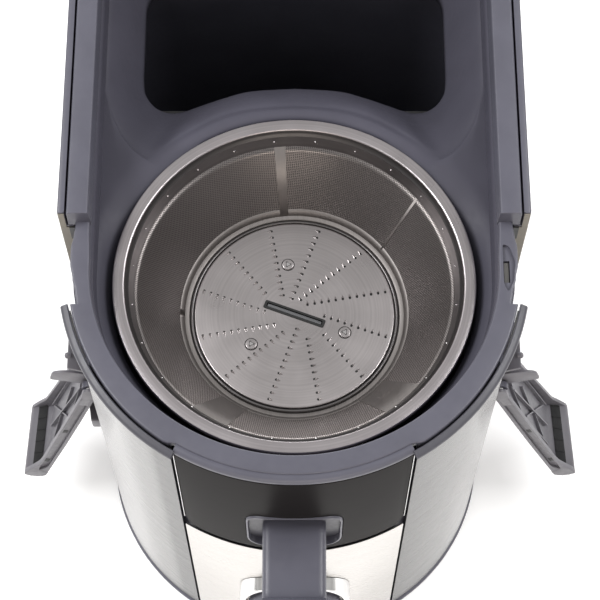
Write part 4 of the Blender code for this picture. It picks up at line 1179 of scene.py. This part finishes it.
def latch_matrix(side):
    """From a latch's (inward, across, along) millimetres to the script's own, in its rest pose."""
    joint = JOINTS["left_latch_swing" if side < 0 else "right_latch_swing"]
    x, y, z = joint["pos_m"]
    turn = side * math.radians(joint["range_deg"][1])
    pivot = Vector((x / MM, (y - AXIS_Y) / MM, (z - RIM_Z) / MM))
    return (Matrix.Translation(pivot) @ Matrix.Rotation(turn, 4, "Y")
            @ Matrix.Diagonal((-side, 1, 1, 1)))


def rib(a, b, low, high, width=0.8):
    """A thin wall between two (along, across) points, from low to high in the inward measure."""
    (sa, ya), (sb, yb) = a, b
    size = math.hypot(sb - sa, yb - ya)
    ny, ns = (sb - sa) / size * width / 2, -(yb - ya) / size * width / 2
    foot = [(ya + ny, sa + ns), (yb + ny, sb + ns), (yb - ny, sb - ns), (ya - ny, sa - ns)]
    return capped([[(low, y, s) for y, s in foot], [(high - 0.25, y, s) for y, s in foot],
                   [(high, y + (0.12 if y < (ya + yb) / 2 else -0.12), s) for y, s in foot]])


def build_latch(side, name):
    matrix = latch_matrix(side)
    body = f"{name}_latch"

    half, back, face, top = 19.75, -4.5, -2.5, 2.8
    taper = ((8.0, 9.0), (47.0, 12.6), (122.0, 19.75))      # rear edge, along and across

    def rear(s_):
        for (sa, ya), (sb, yb) in zip(taper, taper[1:]):
            if s_ <= sb:
                return ya + (yb - ya) * (s_ - sa) / (sb - sa)
        return half

    def plate(profile, low, high, edge=0.3):
        """A profile of (inward, along), from the line low to the line high across the latch."""
        rings = [(0.0, edge), (edge * 0.3, edge * 0.3), (edge, 0.0)]
        shape = []
        for share, inset in rings:
            shape.append([(t, low(s_) + share, s_) for t, s_ in shrunk(profile, inset)])
        for share, inset in rings[::-1]:
            shape.append([(t, high(s_) - share, s_) for t, s_ in shrunk(profile, inset)])
        return capped(shape)

    def flat(value):
        return lambda s_: value

    def leaned(shape):
        """The far end of the arm runs a little longer and fuller at the front."""
        verts, faces = shape
        return [(t - 0.028 * y * ease(s_, 100, 130), y, s_ - 0.16 * y * ease(s_, 100, 130))
                for t, y, s_ in verts], faces

    # The skin with its lip: one profile across the whole width.
    skin = [(back + 0.2, 8.2), (face, 8.6), (face, 47.0), (face, 84.0), (face, 120.0),
            (-1.7, 123.0), (0.2, 126.0), (4.8, 130.8), (6.8, 132.6), (7.8, 134.0), (8.1, 135.6),
            (7.7, 137.2), (6.6, 138.2), (4.0, 138.8), (0.0, 139.0), (-2.6, 138.4), (-4.1, 136.6),
            (back, 132.0), (back, 84.0), (back, 47.0)]
    shapes = [plate(skin, flat(-half + 0.15), lambda s_: rear(s_) - 0.6, 0.3)]
    # Side walls, which rise into the lip.
    wall = [(back, 8.0), (top - 1.2, 8.0), (top, 9.4), (top, 47.0), (top, 84.0), (top, 113.0),
            (top + 0.4, 119.0), (top + 1.8, 124.0), (6.6, 130.0), (7.9, 134.4), (7.7, 137.2),
            (4.0, 138.9), (0, 139.0), (back + 0.4, 136.0), (back, 84.0), (back, 47.0)]
    shapes.append(plate(wall, flat(-half + 1.6), flat(-half + 2.9)))
    ridge = [(top - 1.1, 8.8), (top - 0.3, 8.8), (top + 0.05, 9.8), (top + 0.05, 47.0),
             (top + 0.05, 84.0), (top + 0.05, 113.0), (top + 0.45, 119.0), (top + 1.85, 124.0),
             (6.65, 130.0), (7.95, 134.4), (7.75, 137.2), (4.0, 138.95), (0, 139.05),
             (back + 0.3, 136.05), (back - 0.05, 131.0), (1.3, 127.0), (1.7, 124.0),
             (top - 0.9, 119.0), (top - 1.1, 113.0), (top - 1.1, 84.0), (top - 1.1, 47.0)]
    shapes.append(plate(ridge, flat(-half), flat(-half + 2.4), 0.15))
    notched = (wall[:3] + [(top, 23.5), (0.9, 25.0), (0.9, 35.0), (top, 36.5)]
               + wall[3:])          # room for the bracket's bar when the latch is closed
    shapes.append(plate(notched, lambda s_: rear(s_) - 1.9, rear))
    ledge = [(face - 0.5, 9.0), (0.8, 9.0), (0.8, 118.0), (0.5, 124.0), (1.8, 128.5),
             (face - 0.5, 128.0)]
    shapes.append(plate(ledge, flat(-half + 3.1), flat(-half + 4.7), 0.2))
    shapes.append(plate([(face - 0.5, 9.0), (-0.4, 9.0), (-0.4, 118.0), (face - 0.5, 126.0)],
                        flat(-half + 1.8), flat(-half + 3.4), 0.1))
    # Ribs on the floor.
    for a, b in (((10, -16.0), (111, -10.2)), ((14, 9.2), (114, 13.9)), ((34, -5.2), (113, 1.6))):
        shapes.append(rib(a, b, face - 0.2, -0.3, 0.9))
    for a, b in (((31, -4.4), (55, -12.6)), ((56, 4.6), (76, -2.2)), ((84, -1.2), (103, -9.6)),
                 ((64, -9.8), (107, 11.6)), ((14, 8.8), (34, -5.0)), ((9, -4.5), (9, 8.0))):
        shapes.append(rib(a, b, face - 0.2, -0.8, 0.7))
    # Cheeks, heel plate and lug around the pin.
    for low, high in ((7.6, 9.4), (-19.5, -17.7)):
        cheek = arc(0, 0, 3.5, 180, 360, 15) + [(2.6, 9.0), (2.4, 18.0), (-4.3, 18.0), (-4.2, 6.0)]
        shapes.append(plate(cheek, flat(low), flat(high)))
    heel = [(-4.2, 12.0), (-4.3, -9.0), (-3.4, -9.8), (13.6, -14.0), (14.6, -13.6), (14.2, -12.2),
            (-1.6, -7.6), (-2.5, -6.6), (-2.5, 12.0)]
    shapes.append(plate(heel, flat(-12.0), flat(13.2)))
    lug = rounded([(-4.0, -9.2), (15.0, -9.2), (20.6, -5.4), (20.2, 3.2), (-4.0, 4.9)],
                  [0.4, 3.0, 2.4, 1.6, 0.4], 4)
    shapes.append(plate(lug, flat(-12.6), flat(-11.2), 0.25))
    for y in (-5.0, 9.0):
        nub = lathe([(0, 1.9), (0.9, 1.7), (1.5, 1.1), (1.7, 0.0), (1.7, -1.0), (0, -1.0)], 20,
                    False)
        nub = moved(nub, Matrix.Rotation(math.radians(90), 4, "Y"))
        shapes.append(moved(nub, Matrix.Translation((14.2, y, -13.2))))
    def where(point):
        return place(matrix @ Vector(point))

    add(f"latch_shell_{name}", leaned(together(*shapes)), LATCH, body,
        [f"latch_{name}"], smooth=42, where=where)
    # Rubber pad with its cross ribs, on the slope up to the lip.
    pad = [plate([(0.0, 126.6), (0.3, 125.4), (1.2, 126.2), (4.4, 129.4), (4.6, 130.4),
                  (3.8, 130.4)], flat(-16.6), flat(17.0), 0.15)]
    for k in range(6):
        y = -16.4 + 6.6 * k
        pad.append(plate([(0.4, 126.0), (0.8, 125.3), (4.8, 129.2), (4.7, 130.0)], flat(y),
                         flat(y + 0.6), 0.1))
    add(f"pad_ribbed_{name}", leaned(together(*pad)), RUBBER, body,
        [f"grip_pad_{name}"], smooth=40, where=where)
    # Slots in the recessed front wall, as thin dark plates of painted shade.
    marks = []
    for s_ in (62.0, 112.0):
        marks.append(plate([(-1.6, s_), (0.9, s_), (0.9, s_ + 4.5), (-1.6, s_ + 4.5)],
                           flat(-half + 1.5), flat(-half + 1.8), 0.02))
    add(f"ledge_slots_{name}", leaned(together(*marks)), PAINTED_HOLE_SHADE, body, where=where)

    x, y, z = JOINTS[f"{name}_latch_swing"]["pos_m"]
    pin = swapped(lathe([(0, -19.2), (1.2, -19.2), (1.6, -18.8), (1.6, 18.8), (1.2, 19.2),
                         (0, 19.2)], 24, False), "xzy")
    pin = moved(pin, Matrix.Translation((x / MM, 0, (z - RIM_Z) / MM)))
    coil = []
    for k in range(5):
        turn_ring = []
        for i in range(20):
            a = math.tau * i / 20
            turn_ring.append((3.0 * math.cos(a), -9.4 + 1.0 * k + i / 20.0, 3.0 * math.sin(a)))
        coil.append(turn_ring)
    path = [p for ring in coil for p in ring]
    coil_rings = []
    for i, p in enumerate(path):
        a = math.tau * i / 20
        out, up = Vector((math.cos(a), 0, math.sin(a))), Vector((0, 1, 0))
        coil_rings.append([tuple(Vector(p) + out * 0.4 * math.cos(b) + up * 0.4 * math.sin(b))
                           for b in [math.tau * j / 8 for j in range(8)]])
    spring = moved(capped(coil_rings), Matrix.Translation((x / MM, 0, (z - RIM_Z) / MM)))
    add(f"hinge_pin_{name}", together(pin, spring), BRIGHT, "base",
        [f"latch_pin_{name}"], smooth=50)


# ---------------------------------------------------------------- stage
def build_stage():
    floor = bpy.data.meshes.new("floor")
    size = 4.0
    floor.from_pydata([(-size, -size, 0), (size, -size, 0), (size, size, 0), (-size, size, 0)], [],
                      [(0, 1, 2, 3)])
    item = linked("floor", floor)
    look = Look("pale_floor", (0.93, 0.93, 0.93), 0.75, specular=0.2)
    look.shade(look.noise(look.position(), 0.01, 2), 0.995, 1.005)
    look.shader.inputs["Emission Color"].default_value = (1, 1, 1, 1)
    look.shader.inputs["Emission Strength"].default_value = 0.30
    floor.materials.append(look.material)

    world = bpy.data.worlds.new("studio")
    bpy.context.scene.world = world
    world.use_nodes = True
    world.node_tree.nodes["Background"].inputs[0].default_value = (1.0, 0.995, 0.985, 1)
    world.node_tree.nodes["Background"].inputs[1].default_value = 0.50

    middle = Vector((0, AXIS_Y, 0.2))

    def softbox(name, offset, width, height, power, colour=(1, 1, 1)):
        data = bpy.data.lights.new(name, "AREA")
        data.shape = "RECTANGLE"
        data.size, data.size_y = width, height
        data.energy = power
        data.color = colour
        lamp = linked(name, data)
        lamp.location = middle + Vector(offset)
        lamp.rotation_euler = (middle - lamp.location).to_track_quat("-Z", "Y").to_euler()

    softbox("right", (1.5, 0.3, 1.7), 1.2, 1.0, 28)
    softbox("left", (-1.5, 0.2, 1.7), 1.2, 1.0, 40)
    softbox("rear", (0.0, 2.6, 0.35), 2.6, 0.9, 46)
    softbox("front", (0.1, -2.0, 0.9), 1.6, 0.8, 14, (1.0, 0.90, 0.80))

    camera = bpy.data.cameras.new("camera")
    camera.lens = 113.22
    camera.sensor_width = 36.0
    camera.clip_end = 20
    eye = linked("camera", camera)
    tilt = math.radians(66.75)
    target = Vector(place((2.7, -10.1, 0)))
    eye.location = target - 0.876 * Vector((0, math.cos(tilt), -math.sin(tilt)))
    eye.rotation_euler = (math.radians(90) - tilt, 0, 0)
    bpy.context.scene.camera = eye
    bpy.context.scene.view_settings.view_transform = "Standard"


build_stage()
build_front_flange()
build_rear_flange()
build_well()
build_front_panel()
build_spout()
build_basket()
build_side_covers()
build_knob()
build_rear_panels()
build_foot_and_plate()
build_container()
build_interlock_spring()
build_latch(-1, "left")
build_latch(1, "right")

dress(GREY, "base_housing", "hinge_bracket_left", "hinge_bracket_right")
dress(RUBBER, "cord_gland", "motor_mount", "bowl_seal")
dress(BLACK, "speed_switch", "interlock_switch", "cooling_fan", "drive_coupling")
dress(STEEL, "lower_bearing", "upper_bearing", "motor_shaft")
dress(TONGUE, "interlock_rod")
dress(IRON, "motor_stator", "motor_frame_lower", "motor_frame_upper", "carbon_brush_left",
      "carbon_brush_right", "armature")
dress(COPPER, "field_coil_upper", "field_coil_lower", "commutator")
dress(BOARD, "circuit_board")
